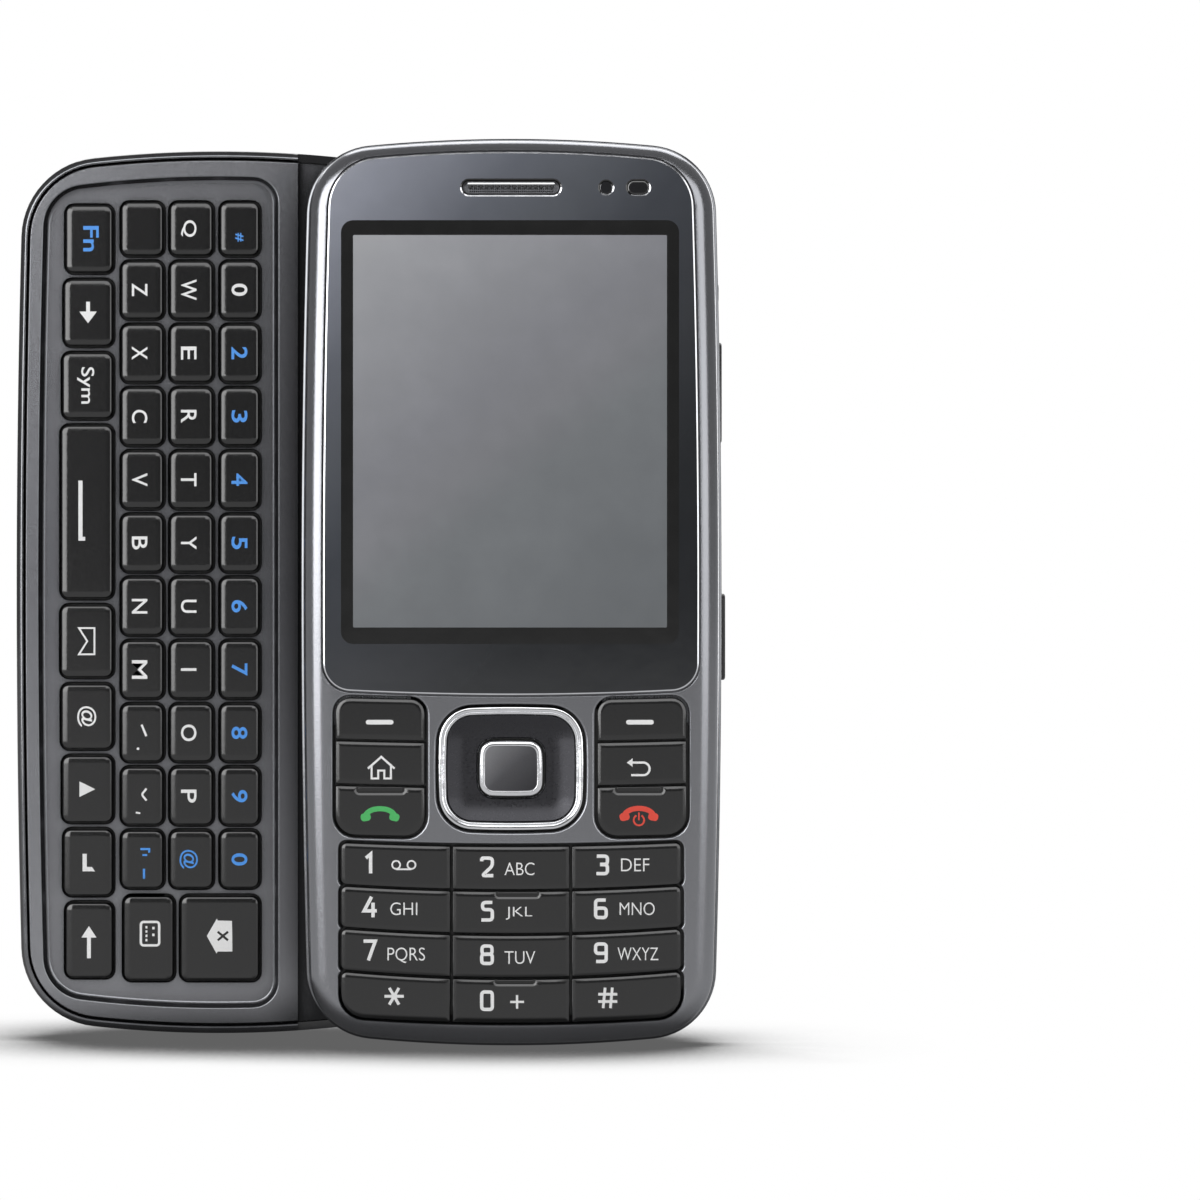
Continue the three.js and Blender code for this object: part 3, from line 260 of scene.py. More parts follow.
@dataclass(frozen=True)
class Box:
    """An upright box in the plane of the lying phone."""

    left: float
    right: float
    bottom: float
    top: float

    @staticmethod
    def centred(x: float, y: float, width: float, height: float) -> "Box":
        """Makes a box round its centre."""
        return Box(x - width / 2, x + width / 2, y - height / 2, y + height / 2)

    @property
    def centre(self) -> Point:
        """The box's middle."""
        return ((self.left + self.right) / 2, (self.bottom + self.top) / 2)

    @property
    def corners(self) -> tuple[Point, ...]:
        """The corners from the top right round to the bottom right."""
        return ((self.right, self.top), (self.left, self.top),
                (self.left, self.bottom), (self.right, self.bottom))

    def grown(self, by: float) -> "Box":
        """Gives the box with each side moved outwards."""
        return Box(self.left - by, self.right + by, self.bottom - by, self.top + by)

    def side(self, axis: int, at: float, sign: int, crown: float) -> Edge:
        """Gives one edge, straight or bowing out.

        Args:
            axis: 0 for the right or left edge, 1 for the top or bottom.
            at: where it stands.
            sign: 1 for the right or top edge, -1 for the others.
            crown: how far it bows out.

        Returns:
            The edge.
        """
        if crown == 0:
            return Line(axis, at, sign)
        half = (self.top - self.bottom) / 2 if axis == 0 else (self.right - self.left) / 2
        radius = (half * half + crown * crown) / (2 * crown)
        x, y = self.centre
        return Arc(at - sign * radius, y, radius) if axis == 0 else Arc(x, at - sign * radius, radius)

    def edges(self, right: float = 0, top: float = 0, left: float = 0, bottom: float = 0) -> tuple[Edge, ...]:
        """Gives the right, top, left and bottom edges, each bowing out by as much as it is given."""
        return (self.side(0, self.right, 1, right), self.side(1, self.top, 1, top),
                self.side(0, self.left, -1, left), self.side(1, self.bottom, -1, bottom))

    def rounded(self, radius: float, corner_steps: int = 6, edge_steps: int = 6, **crowns: float) -> Outline:
        """Gives the box as an outline with round corners, its named edges bowing out as given."""
        return Outline(self.edges(**crowns), (radius,) * 4, self.corners, corner_steps, edge_steps)


# Bodies

def eased_opening(gap: float, low: float, top: float, radius: float, steps: int = 5) -> Profile:
    """Gives the profile of a cutter that leaves an opening with a rounded mouth."""
    mouth = [(-inset, z) for inset, z in rounding(gap, top, radius, steps)]
    return [(-gap, low), *mouth, (-gap - radius, top + OVERRUN)]


def rounding(inset: float, top: float, radius: float, steps: int = 4) -> Profile:
    """Gives the profile of a rounded upper edge, as pairs of inset and height from the wall up."""
    angles = [math.pi / 2 * k / steps for k in range(steps + 1)]
    return [(inset + radius * (1 - math.cos(a)), top - radius * (1 - math.sin(a))) for a in angles]


class Body:
    """A closed mesh in the making, in millimetres on the lying phone."""

    def __init__(self) -> None:
        """Starts with nothing."""
        self.places: list[Place] = []
        self.faces: list[tuple[int, ...]] = []
        self.zones: list[int] = []

    def ring(self, points: Sequence[Point], z: float) -> list[int]:
        """Adds a ring of points.

        Args:
            points: where they stand.
            z: the height of them all.

        Returns:
            Their numbers.
        """
        first = len(self.places)
        self.places += [(x, y, z) for x, y in points]
        return list(range(first, len(self.places)))

    def wall(self, low: list[int], high: list[int], zone: int | Callable[[Place], int] = 0) -> None:
        """Closes the space between two rings of as many points.

        Args:
            low: the first ring.
            high: the second ring.
            zone: the number of the finish, or a rule that gives it for a point of the first ring.
        """
        count = len(low)
        for k in range(count):
            after = (k + 1) % count
            self.faces.append((low[k], low[after], high[after], high[k]))
            self.zones.append(zone(self.places[low[k]]) if callable(zone) else zone)

    def cap(self, loops: Sequence[list[int]], up: bool, zone: int = 0) -> None:
        """Fills the flat space inside the first loop and outside the others.

        Args:
            loops: the outer ring, then the rings of its holes.
            up: whether the face looks up.
            zone: the number of the finish that it gets.
        """
        numbers = [number for loop in loops for number in loop]
        flat = [[Vector((self.places[k][0], self.places[k][1], 0)) for k in loop] for loop in loops]
        for triangle in tessellate_polygon(flat):
            a, b, c = (numbers[k] for k in triangle)
            (ax, ay, _), (bx, by, _), (cx, cy, _) = (self.places[k] for k in (a, b, c))
            turn = (bx - ax) * (cy - ay) - (by - ay) * (cx - ax)
            self.faces.append((a, b, c) if (turn > 0) == up else (a, c, b))
            self.zones.append(zone)

    def pile(self, rings: Sequence[list[int]]) -> "Body":
        """Closes a solid over rings of as many points.

        Args:
            rings: the rings, from the lowest up.

        Returns:
            The body itself.
        """
        self.cap([rings[0]], up=False)
        for low, high in zip(rings, rings[1:]):
            self.wall(low, high)
        self.cap([rings[-1]], up=True)
        return self

    def add(self, other: "Body") -> "Body":
        """Takes in another body that stands clear of this one.

        Args:
            other: the other body.

        Returns:
            The body itself.
        """
        first = len(self.places)
        self.places += other.places
        self.faces += [tuple(k + first for k in face) for face in other.faces]
        self.zones += other.zones
        return self

    def moved(self, change: Callable[[Place], Place]) -> "Body":
        """Moves every point by a rule."""
        self.places = [change(place) for place in self.places]
        return self

    def zoned(self, rule: Callable[[list[Place]], int]) -> "Body":
        """Gives each face the number of the finish that a rule finds for its points."""
        self.zones = [rule([self.places[k] for k in face]) for face in self.faces]
        return self

    def turned(self) -> "Body":
        """Turns a body drawn upright so that its top points out through the right wall."""
        return self.moved(lambda p: (p[2], p[0], p[1]))

    def cut(self, how: Cut, *tools: "Body") -> "Body":
        """Gives this body changed by others, one after another.

        Args:
            how: taken away, shared or joined.
            tools: the other bodies.

        Returns:
            A new body.
        """
        result = self
        for tool in tools:
            target, cutter = result.draft("draft_target"), tool.draft("draft_tool")
            modifier = target.modifiers.new("cut", "BOOLEAN")
            modifier.object, modifier.operation, modifier.solver = cutter, how.value, "MANIFOLD"
            mesh = target.evaluated_get(bpy.context.evaluated_depsgraph_get()).to_mesh()
            result = Body()
            result.places = [tuple(vertex.co) for vertex in mesh.vertices]
            result.faces = [tuple(polygon.vertices) for polygon in mesh.polygons]
            result.zones = [0] * len(result.faces)
            for draft in (target, cutter):
                data = draft.data
                bpy.data.objects.remove(draft)
                bpy.data.meshes.remove(data)
        return result

    def draft(self, name: str) -> bpy.types.Object:
        """Makes a passing object of the body, in millimetres.

        Args:
            name: the object's name.

        Returns:
            The object.
        """
        mesh = bpy.data.meshes.new(name)
        mesh.from_pydata(self.places, [], self.faces)
        return placed(name, mesh)


def placed(name: str, data: bpy.types.ID) -> bpy.types.Object:
    """Puts a new object into the scene.

    Args:
        name: its name.
        data: its mesh, text, lamp or camera.

    Returns:
        The object.
    """
    thing = bpy.data.objects.new(name, data)
    bpy.context.scene.collection.objects.link(thing)
    return thing


def loft(form: Outline, profile: Profile) -> Body:
    """Makes a closed solid of an outline from pairs of inset and height, from the lowest up."""
    body = Body()
    return body.pile([body.ring(form.points(inset), z) for inset, z in profile])


def slab(form: Outline, low: float, high: float, inset: float = 0.0) -> Body:
    """Makes an upright solid of an outline."""
    return loft(form, [(inset, low), (inset, high)])


def block(x: Point, y: Point, z: Point) -> Body:
    """Makes a plain box that other bodies are cut with.

    Args:
        x: its left and right faces.
        y: its front and rear faces.
        z: its lower and upper faces.

    Returns:
        The box.
    """
    corners = [(x[0], y[0]), (x[1], y[0]), (x[1], y[1]), (x[0], y[1])]
    body = Body()
    return body.pile([body.ring(corners, height) for height in z])


def hoop(form: Outline, profile: Profile) -> Body:
    """Makes a closed ring whose section is drawn along an outline.

    Args:
        form: the outline.
        profile: pairs of inset and height that run once round the section.

    Returns:
        The ring.
    """
    body = Body()
    rings = [body.ring(form.points(inset), z) for inset, z in profile]
    for low, high in zip(rings, rings[1:] + rings[:1]):
        body.wall(low, high)
    return body


def prism(loops: Sequence[Sequence[Point]], low: float, high: float) -> Body:
    """Makes a flat plate of any outline with holes.

    Args:
        loops: the outer loop, then its holes.
        low: its lower face.
        high: its upper face.

    Returns:
        The plate.
    """
    body = Body()
    lows, highs = [], []
    for k, loop in enumerate(loops):
        points = list(loop) if (signed_area(loop) > 0) == (k == 0) else list(reversed(loop))
        lows.append(body.ring(points, low))
        highs.append(body.ring(points, high))
        body.wall(lows[-1], highs[-1])
    body.cap(lows, up=False)
    body.cap(highs, up=True)
    return body


def stroke(points: Sequence[Point], width: float, low: float, high: float, closed: bool = False) -> Body:
    """Draws a line of one width as a thin plate.

    Args:
        points: the line's middle.
        width: how wide it is.
        low: its lower face.
        high: its upper face.
        closed: whether its ends meet.

    Returns:
        The plate.
    """
    count = len(points)

    def direction(k: int) -> Vector:
        """Gives the way from one point to the next."""
        one, other = Vector(points[k % count]), Vector(points[(k + 1) % count])
        return (other - one).normalized()

    left, right = [], []
    for k, point in enumerate(points):
        before = direction(k - 1) if closed or k > 0 else direction(k)
        after = direction(k) if closed or k < count - 1 else before
        middle = (before + after).normalized()
        normal = Vector((-middle.y, middle.x))
        reach = width / 2 / max(LEAST_COSINE, middle.dot(after))
        left.append(tuple(Vector(point) + normal * reach))
        right.append(tuple(Vector(point) - normal * reach))
    if closed:
        right_outside = abs(signed_area(right)) > abs(signed_area(left))
        return prism([right, left] if right_outside else [left, right], low, high)
    return prism([right + left[::-1]], low, high)


def softened(points: Sequence[Point], radius: float, closed: bool = False, steps: int = 5) -> list[Point]:
    """Rounds the corners of a line of points.

    Args:
        points: the line's corners.
        radius: how far from each corner the rounding starts.
        closed: whether the line's ends meet.
        steps: round each corner.

    Returns:
        The rounded line.
    """
    line: list[Point] = []
    for k, point in enumerate(points):
        if not closed and k in (0, len(points) - 1):
            line.append(point)
            continue
        here = Vector(point)
        before, after = Vector(points[k - 1]) - here, Vector(points[(k + 1) % len(points)]) - here
        reach = min(radius, before.length * CORNER_SHARE, after.length * CORNER_SHARE)
        start, end = here + before.normalized() * reach, here + after.normalized() * reach
        for step in range(steps + 1):
            share = step / steps
            line.append(tuple(start.lerp(here, share).lerp(here.lerp(end, share), share)))
    return line


def bow(x: float, y: float, reach: Point, first: float, last: float, steps: int = 14) -> list[Point]:
    """Gives points along an ellipse, between two angles in degrees."""
    angles = [math.radians(first + (last - first) * k / steps) for k in range(steps + 1)]
    return [(x + reach[0] * math.cos(a), y + reach[1] * math.sin(a)) for a in angles]


def signed_area(loop: Sequence[Point]) -> float:
    """Gives twice the area inside a loop of points, positive if it runs anticlockwise."""
    return sum(a[0] * b[1] - a[1] * b[0] for a, b in zip(loop, list(loop[1:]) + [loop[0]]))


def circle(x: float, y: float, radius: float, steps: int = 32) -> list[Point]:
    """Gives the points of a circle."""
    angles = [2 * math.pi * k / steps for k in range(steps)]
    return [(x + radius * math.cos(a), y + radius * math.sin(a)) for a in angles]


def turned_rings(x: float, y: float, profile: Profile, steps: int = 32) -> Body:
    """Makes a round solid from pairs of radius and height, from the lowest up."""
    body = Body()
    return body.pile([body.ring(circle(x, y, radius, steps), z) for radius, z in profile])


def lettered(words: str, size: Point, weight: float = 0.0) -> Body:
    """Sets words or a sign as a printed film.

    Args:
        words: the words.
        size: how wide and how high they come out.
        weight: how much bolder than the plain letter.

    Returns:
        The film, centred, with its foot at height 0.
    """
    curve = bpy.data.curves.new("words", "FONT")
    curve.body, curve.offset, curve.resolution_u = words, weight, 5
    draft = placed("words", curve)
    mesh = draft.evaluated_get(bpy.context.evaluated_depsgraph_get()).to_mesh()
    flat = [(vertex.co.x, vertex.co.y) for vertex in mesh.vertices]
    triangles = [tuple(polygon.vertices) for polygon in mesh.polygons]
    bpy.data.objects.remove(draft)
    bpy.data.curves.remove(curve)
    spans = [(min(values), max(values)) for values in zip(*flat)]
    points = [tuple(((place[axis] - (low + high) / 2) * size[axis] / (high - low))
                    for axis, (low, high) in enumerate(spans)) for place in flat]
    body = Body()
    low_ring, high_ring = body.ring(points, 0.0), body.ring(points, INK_FILM)
    rims: set[tuple[int, int]] = set()
    for triangle in triangles:
        a, b, c = (points[k] for k in triangle)
        turn = (b[0] - a[0]) * (c[1] - a[1]) - (b[1] - a[1]) * (c[0] - a[0])
        around = triangle if turn > 0 else triangle[::-1]
        body.faces += [tuple(high_ring[k] for k in around), tuple(low_ring[k] for k in around[::-1])]
        rims |= set(zip(around, around[1:] + around[:1]))
    body.faces += [(low_ring[a], low_ring[b], high_ring[b], high_ring[a])
                   for a, b in sorted(rims) if (b, a) not in rims]
    body.zones = [0] * len(body.faces)
    return body


def round_bar(x: float, y: float, length: float, width: float) -> Outline:
    """Gives the outline of a bar with round ends, long along x."""
    return Box.centred(x, y, length, width).rounded(width / 2 - 0.001, corner_steps=8)


def keep_level(mesh: bpy.types.Mesh) -> None:
    """Marks the border of every level face as sharp, so that its edges don't tint it.

    Args:
        mesh: the mesh, standing upright in the frame.
    """
    beside: dict[tuple[int, int], set[bool]] = {}
    for polygon in mesh.polygons:
        for edge in polygon.edge_keys:
            beside.setdefault(edge, set()).add(abs(polygon.normal.y) > LEVEL_NORMAL)
    for edge in mesh.edges:
        if len(beside.get(edge.key, ())) == 2:
            edge.use_edge_sharp = True


def publish(body: Body, name: str, half: Half, rides: str, finishes: Sequence[str],
            stands_for: Sequence[str] = (), bevel: float = 0.0) -> bpy.types.Object:
    """Makes a finished piece of a body and hands it to the frame.

    Args:
        body: its mesh, in millimetres.
        name: the piece's name.
        half: the half of the phone that it is drawn on.
        rides: the frame's body that it moves with.
        finishes: the names of its finishes, by zone.
        stands_for: the frame's nodes that it replaces.
        bevel: how far its sharp edges are eased, in millimetres.

    Returns:
        The piece.
    """
    mesh = bpy.data.meshes.new(name)
    mesh.from_pydata([half.to_row(place) for place in body.places], [], body.faces)
    for kind in finishes:
        mesh.materials.append(finish(kind))
    mesh.polygons.foreach_set("material_index", body.zones)
    mesh.polygons.foreach_set("use_smooth", [True] * len(body.faces))
    mesh.set_sharp_from_angle(angle=SMOOTH_ANGLE)
    keep_level(mesh)
    mesh.update()
    piece = placed(name, mesh)
    if bevel:
        edge = piece.modifiers.new("eased_edges", "BEVEL")
        edge.width, edge.segments, edge.limit_method = bevel * MM, 2, "ANGLE"
        edge.angle_limit = SMOOTH_ANGLE
        edge.harden_normals = True
    normals = piece.modifiers.new("even_shading", "WEIGHTED_NORMAL")
    normals.keep_sharp = True
    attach(piece, rides)
    if stands_for:
        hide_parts(*stands_for)
    LOG.info("%s: %d faces, moves with %s", name, len(body.faces), rides)
    return piece


# Finishes

def linear(colour: str) -> tuple[float, ...]:
    """Turns an sRGB hex colour into the linear values that a shader takes."""
    parts = [int(colour[k:k + 2], 16) / 255 for k in (1, 3, 5)]
    return (*(c / 12.92 if c <= 0.04045 else ((c + 0.055) / 1.055) ** 2.4 for c in parts), 1.0)


def add_node(tree: Tree, kind: str, inputs: dict[Any, Any] | None = None,
             **settings: Any) -> bpy.types.Node:
    """Adds a node with its settings and links.

    Args:
        tree: the material's or world's nodes.
        kind: the node's type.
        inputs: a value or another node's output for each named or numbered input.
        settings: the node's own properties.

    Returns:
        The node.
    """
    node = tree.nodes.new(kind)
    for name, value in settings.items():
        setattr(node, name, value)
    for name, value in (inputs or {}).items():
        if isinstance(value, Socket):
            tree.links.new(value, node.inputs[name])
        else:
            node.inputs[name].default_value = value
    return node


def ramp(tree: Tree, factor: Socket, tones: Tones) -> Socket:
    """Turns a value into colours.

    Args:
        tree: the material's nodes.
        factor: the value.
        tones: each place from 0 to 1 with its hex colour.

    Returns:
        The colour.
    """
    node = add_node(tree, "ShaderNodeValToRGB", {"Fac": factor})
    marks = node.color_ramp.elements
    while len(marks) < len(tones):
        marks.new(0.5)
    for mark, (place, colour) in zip(marks, tones):
        mark.position, mark.color = place, linear(colour)
    return node.outputs["Color"]


def per_metre(size_mm: float) -> float:
    """Gives the texture scale of a pattern whose features are this many millimetres apart."""
    return 1000.0 / size_mm


def combined(tree: Tree, how: str, one: Socket, other: Socket) -> Socket:
    """Combines two values by one of the operations on numbers."""
    return add_node(tree, "ShaderNodeMath", {0: one, 1: other}, operation=how).outputs[0]


def between(tree: Tree, share: Socket, one: Socket | float, other: Socket | float) -> Socket:
    """Gives a value between two others, nearer to the second the larger the share is."""
    return add_node(tree, "ShaderNodeMix", {0: share, 2: one, 3: other}, data_type="FLOAT").outputs[0]


def scaled(tree: Tree, colour: Socket, share: Socket) -> Socket:
    """Brightens or darkens a colour to a share of itself."""
    node = add_node(tree, "ShaderNodeVectorMath", {0: colour, "Scale": share}, operation="SCALE")
    return node.outputs["Vector"]


def respan(tree: Tree, value: Socket, span: Point, onto: Point = (0.0, 1.0)) -> Socket:
    """Carries a value from one span over to another, and holds it there."""
    ends = {"From Min": span[0], "From Max": span[1], "To Min": onto[0], "To Max": onto[1]}
    return add_node(tree, "ShaderNodeMapRange", {"Value": value, **ends}).outputs["Result"]


def ray_kinds(tree: Tree) -> tuple[Socket, Socket]:
    """Tells some kinds of rays from the rest.

    Args:
        tree: the material's or world's nodes.

    Returns:
        1 for the camera's own rays, and 1 for those by which shiny and clear surfaces see.
    """
    rays = add_node(tree, "ShaderNodeLightPath").outputs
    shiny = combined(tree, "MAXIMUM", rays["Is Glossy Ray"], rays["Is Transmission Ray"])
    return rays["Is Camera Ray"], shiny


def grained(colour: str, shade: str) -> Tones:
    """Gives the tones of a surface of one colour, whose grain goes to a darker shade of it."""
    return ((0.0, shade), (1.0, colour))


# Where the values of the noise mostly lie: alone, and two of them multiplied
NOISE_SPAN = (0.3, 0.7)
TONE_SPAN = (0.12, 0.42)
# How far the grain changes the roughness, and how deep it is for its size
ROUGHNESS_SPAN = (0.85, 1.15)
GRAIN_DEPTH = 0.3
COAT_ROUGHNESS = 0.06
# How open a place is, from closed in to free, for the painted shade in corners
OPEN_SPAN = (0.58, 0.98)


@dataclass(frozen=True)
class Finish:
    """A surface with a fine grain, the start of every finish here.

    Args:
        name: the material's name.
        tones: its colours, from the dark to the light of its grain.
        roughness: of its reflections.
        metallic: 1 for a metal, 0 for a plastic.
        grain_mm: the size of its grain.
        grain_depth: how strongly the grain bumps the light.
        patch_mm: the size of its slow changes of tone.
        stretch: how much the grain is drawn out along each axis.
        coat: the strength of a clear coat on it.
        sheen: how much light its surface mirrors, where 0.5 is a common plastic.
    """

    name: str
    tones: Tones
    roughness: float
    metallic: float = 0.0
    grain_mm: float = 0.3
    grain_depth: float = 0.05
    patch_mm: float = 14.0
    stretch: tuple[float, float, float] = (1.0, 1.0, 1.0)
    coat: float = 0.0
    sheen: float = 0.5

    def build(self) -> bpy.types.Material:
        """Makes the finish.

        Returns:
            Its material.
        """
        material = bpy.data.materials.new(self.name)
        material.use_nodes = True
        tree = material.node_tree
        shader = tree.nodes["Principled BSDF"]
        place = add_node(tree, "ShaderNodeTexCoord").outputs["Object"]
        self.dress(tree, shader, place)
        shader.inputs["Metallic"].default_value = self.metallic
        shader.inputs["Coat Weight"].default_value = self.coat
        shader.inputs["Coat Roughness"].default_value = COAT_ROUGHNESS
        shader.inputs["Specular IOR Level"].default_value = self.sheen
        return material

    def dress(self, tree: Tree, shader: bpy.types.Node, place: Socket) -> None:
        """Links the colour, roughness and bump.

        Args:
            tree: the material's nodes.
            shader: its surface shader.
            place: the point on the object, in metres.
        """
        drawn = add_node(tree, "ShaderNodeMapping", {"Vector": place, "Scale": self.stretch})
        grain = add_node(tree, "ShaderNodeTexNoise", {
            "Vector": drawn.outputs["Vector"], "Scale": per_metre(self.grain_mm), "Detail": 3.0})
        patch = add_node(tree, "ShaderNodeTexNoise", {
            "Vector": place, "Scale": per_metre(self.patch_mm), "Detail": 2.0})
        tone = combined(tree, "MULTIPLY", grain.outputs["Fac"], patch.outputs["Fac"])
        colour = self.colours(tree, respan(tree, tone, TONE_SPAN), place)
        tree.links.new(colour, shader.inputs["Base Color"])
        low, high = ROUGHNESS_SPAN
        rough = respan(tree, grain.outputs["Fac"], NOISE_SPAN, (self.roughness * low, self.roughness * high))
        tree.links.new(rough, shader.inputs["Roughness"])
        bump = add_node(tree, "ShaderNodeBump", {
            "Height": grain.outputs["Fac"], "Strength": self.grain_depth,
            "Distance": self.grain_mm * MM * GRAIN_DEPTH})
        tree.links.new(bump.outputs["Normal"], shader.inputs["Normal"])

    def colours(self, tree: Tree, spread: Socket, place: Socket) -> Socket:
        """Turns the grain's spread into the surface's colour."""
        return ramp(tree, spread, self.tones)


@dataclass(frozen=True)
class PaintedLightFinish(Finish):
    """A surface whose tones run along a slope: painted light, shade and reflections laid across it.

    Args:
        start: where the run starts, in the frame's metres.
        slope: how much of the run each metre takes, along each axis.
        fleck: how far its grain lightens and darkens it.
    """

    start: Place = (0.0, 0.0, 0.0)
    slope: Place = (1.0, 0.0, 0.0)
    fleck: float = 0.05

    def colours(self, tree: Tree, spread: Socket, place: Socket) -> Socket:
        """Runs the painted light's colour over the surface.

        Args:
            tree: the material's nodes.
            spread: the grain, from 0 to 1.
            place: the point on the object, in metres.

        Returns:
            The colour.
        """
        reach = add_node(tree, "ShaderNodeVectorMath", {0: place, 1: self.start}, operation="SUBTRACT")
        run = add_node(tree, "ShaderNodeVectorMath", {0: reach.outputs["Vector"], 1: self.slope},
                       operation="DOT_PRODUCT")
        painted_tone = ramp(tree, run.outputs["Value"], self.tones)
        return scaled(tree, painted_tone, respan(tree, spread, (0.0, 1.0), (1.0 - self.fleck, 1.0 + self.fleck)))


@dataclass(frozen=True)
class PaintedShadeFinish(PaintedLightFinish):
    """A surface whose tones run along a slope, with painted shade that darkens it where others stand close
    over it.

    Args:
        reach_mm: how far off they still darken it with painted shade.
        least: how much of its colour is left where they close it in.
    """

    reach_mm: float = 3.0
    least: float = 0.3

    def colours(self, tree: Tree, spread: Socket, place: Socket) -> Socket:
        """Paints shade into the sloping colour in its corners.

        Args:
            tree: the material's nodes.
            spread: the grain, from 0 to 1.
            place: the point on the object, in metres.

        Returns:
            The colour.
        """
        plain = super().colours(tree, spread, place)
        near = add_node(tree, "ShaderNodeAmbientOcclusion", {"Distance": self.reach_mm * MM}, samples=8)
        return scaled(tree, plain, respan(tree, near.outputs["AO"], OPEN_SPAN, (self.least, 1.0)))


@cache
def finish(name: str) -> bpy.types.Material:
    """Gives a finish by its name, made at its first use."""
    return KINDS[name].build()


KINDS: dict[str, Finish] = {kind.name: kind for kind in (
    # Aluminium-flake paint on a moulded frame, sprayed satin: a soft grey sparkle
    Finish("satin_flake_paint", grained("#88898d", "#818286"), 0.19, 0.9, 0.2, 0.1),
    # Darker flake paint on the sheet-metal back: broad soft highlights
    Finish("graphite_flake_paint", grained("#5b5c60", "#56575b"), 0.31, 0.85, 0.2, 0.08),
    # Textured paint of the keyboard's deck: a dull gunmetal sheen, with painted shade: darker at mid height
    # than at its ends, and darker in corners, between keys and beside the slide
    PaintedShadeFinish("deck_flake_paint",
                 ((0.0, "#808185"), (0.1, "#78797d"), (0.5, "#6f7074"), (1.0, "#8e8f93")),
                 0.22, 0.9, 0.22, 0.015, start=(0.0, 0.0, 0.0555), slope=(0.0, 0.0, -9.0),
                 reach_mm=8.0, least=0.06),
    # Polished black ABS: mirror-like, with slight waves
    Finish("polished_black_abs", grained("#1c1c1e", "#141416"), 0.1, 0.0, 6.0, 0.02, coat=0.5),
    # Spark-eroded black ABS housing: a fine dull texture
    Finish("moulded_black_abs", grained("#1d1d1f", "#151517"), 0.42, 0.0, 0.35, 0.25),
    # Painted polycarbonate key caps: soft satin with blurred highlights
    Finish("moulded_key_polycarbonate", grained("#0e0e0f", "#0b0b0c"), 0.14, 0.0, 0.3, 0.03, sheen=0.7),
    # Moulded silicone mat under the letter keys: dull and slightly dusty
    Finish("moulded_silicone", grained("#1a1a1b", "#121213"), 0.6, 0.0, 0.4, 0.2),
    # Chromium plate on moulded plastic: bright, with slight waves of the moulding
    Finish("chromium_plate", grained("#dcdde0", "#cfd0d3"), 0.09, 1.0, 3.0, 0.03),
    # Cold-rolled spring steel of the guides: a faint rolling grain
    Finish("rolled_spring_steel", grained("#a5a7ab", "#8b8d91"), 0.28, 1.0, 0.2, 0.12,
           stretch=(1.0, 1.0, 0.1)),
    # Solder mask over glass-fibre board: glossy green with a faint weave
    Finish("solder_mask", grained("#1f5a3c", "#15402b"), 0.35, 0.0, 0.8, 0.2, 3.0, coat=0.3),
    # Black solder mask of the small board under the front keys: a dim gloss
    Finish("black_solder_mask", grained("#161717", "#0f1010"), 0.35, 0.0, 0.8, 0.2, 3.0, coat=0.3),
    # Printed film wrap of the battery: dull dark grey
    Finish("battery_film", grained("#44474c", "#36393d"), 0.5, 0.0, 0.5, 0.1),
    # Coated optical glass over a dark barrel: black with a clear shine
    Finish("coated_lens_glass", grained("#0f1014", "#08080a"), 0.04, 0.0, 5.0, 0.01, coat=1.0),
    # Screen print on the window's back: even near-black
    Finish("printed_black_border", grained("#161616", "#121212"), 0.12, 0.0, 3.0, 0.01, coat=0.3),
    # Smoked acrylic, with a painted reflection: pale at its upper left corner, near black at its lower right
    PaintedLightFinish("smoked_acrylic",
                 ((0.0, "#979aa3"), (0.09, "#838690"), (0.26, "#5a5d65"), (0.36, "#4e5157"),
                  (0.49, "#393c42"), (0.66, "#313337"), (0.82, "#1f2124"), (1.0, "#191b1e")),
                 0.1, 0.0, 4.0, 0.01, coat=0.3, start=(0.0135, 0.0, 0.0547), slope=(10.5, 0.0, -9.4)),
    # Unlit liquid crystal panel under the window: grey, with a painted reflection, paler at its upper left
    # and darker at its lower right
    PaintedLightFinish("unlit_liquid_crystal",
                 ((0.0, "#9b9c9f"), (0.07, "#949599"), (0.36, "#7a7b80"), (0.46, "#76777b"),
                  (0.55, "#6d7073"), (0.84, "#636669"), (1.0, "#5e6163")),
                 0.16, 0.0, 4.0, 0.01, coat=0.2, start=(0.0172, 0.0, 0.0443), slope=(9.0, 0.0, -11.5)),
    # Dished pad of the navigation key: dark metallic lacquer that shows the dish
    Finish("dark_metallic_lacquer", grained("#38383b", "#343437"), 0.3, 0.9, 0.25, 0.04),
    # Black chromium plate of the rims: a dark mirror with one bright line
    Finish("black_chromium_plate", grained("#77787b", "#6a6b6e"), 0.16, 1.0, 2.0, 0.02),
    # Metallised bevel round the window: a bright hairline, also used as a painted highlight on one side of
    # the holes' mouths
    Finish("metallised_bevel", grained("#d2d3d7", "#c4c5c9"), 0.16, 1.0, 2.0, 0.02),
    # Bead-blasted aluminium of the centre key: a fine grain, with painted light from pale at its upper left
    # to dark at its lower right
    PaintedLightFinish("blasted_aluminium", ((0.0, "#7c7c7f"), (0.5, "#4e4e51"), (1.0, "#303033")),
                 0.34, 0.8, 0.12, 0.1, fleck=0.06, start=(0.0336, 0.0, -0.0187), slope=(78.0, 0.0, -78.0)),
    # Pad-printed ink: a thin dull film
    Finish("printed_white_ink", grained("#e4e4e4", "#d6d6d6"), 0.45, 0.0, 0.15, 0.05),
    Finish("printed_blue_ink", grained("#3f8ee0", "#3784d4"), 0.45, 0.0, 0.15, 0.05),
    Finish("printed_green_ink", grained("#3fae5a", "#389f51"), 0.45, 0.0, 0.15, 0.05),
    Finish("printed_red_ink", grained("#d9402c", "#cb3926"), 0.45, 0.0, 0.15, 0.05),
)}


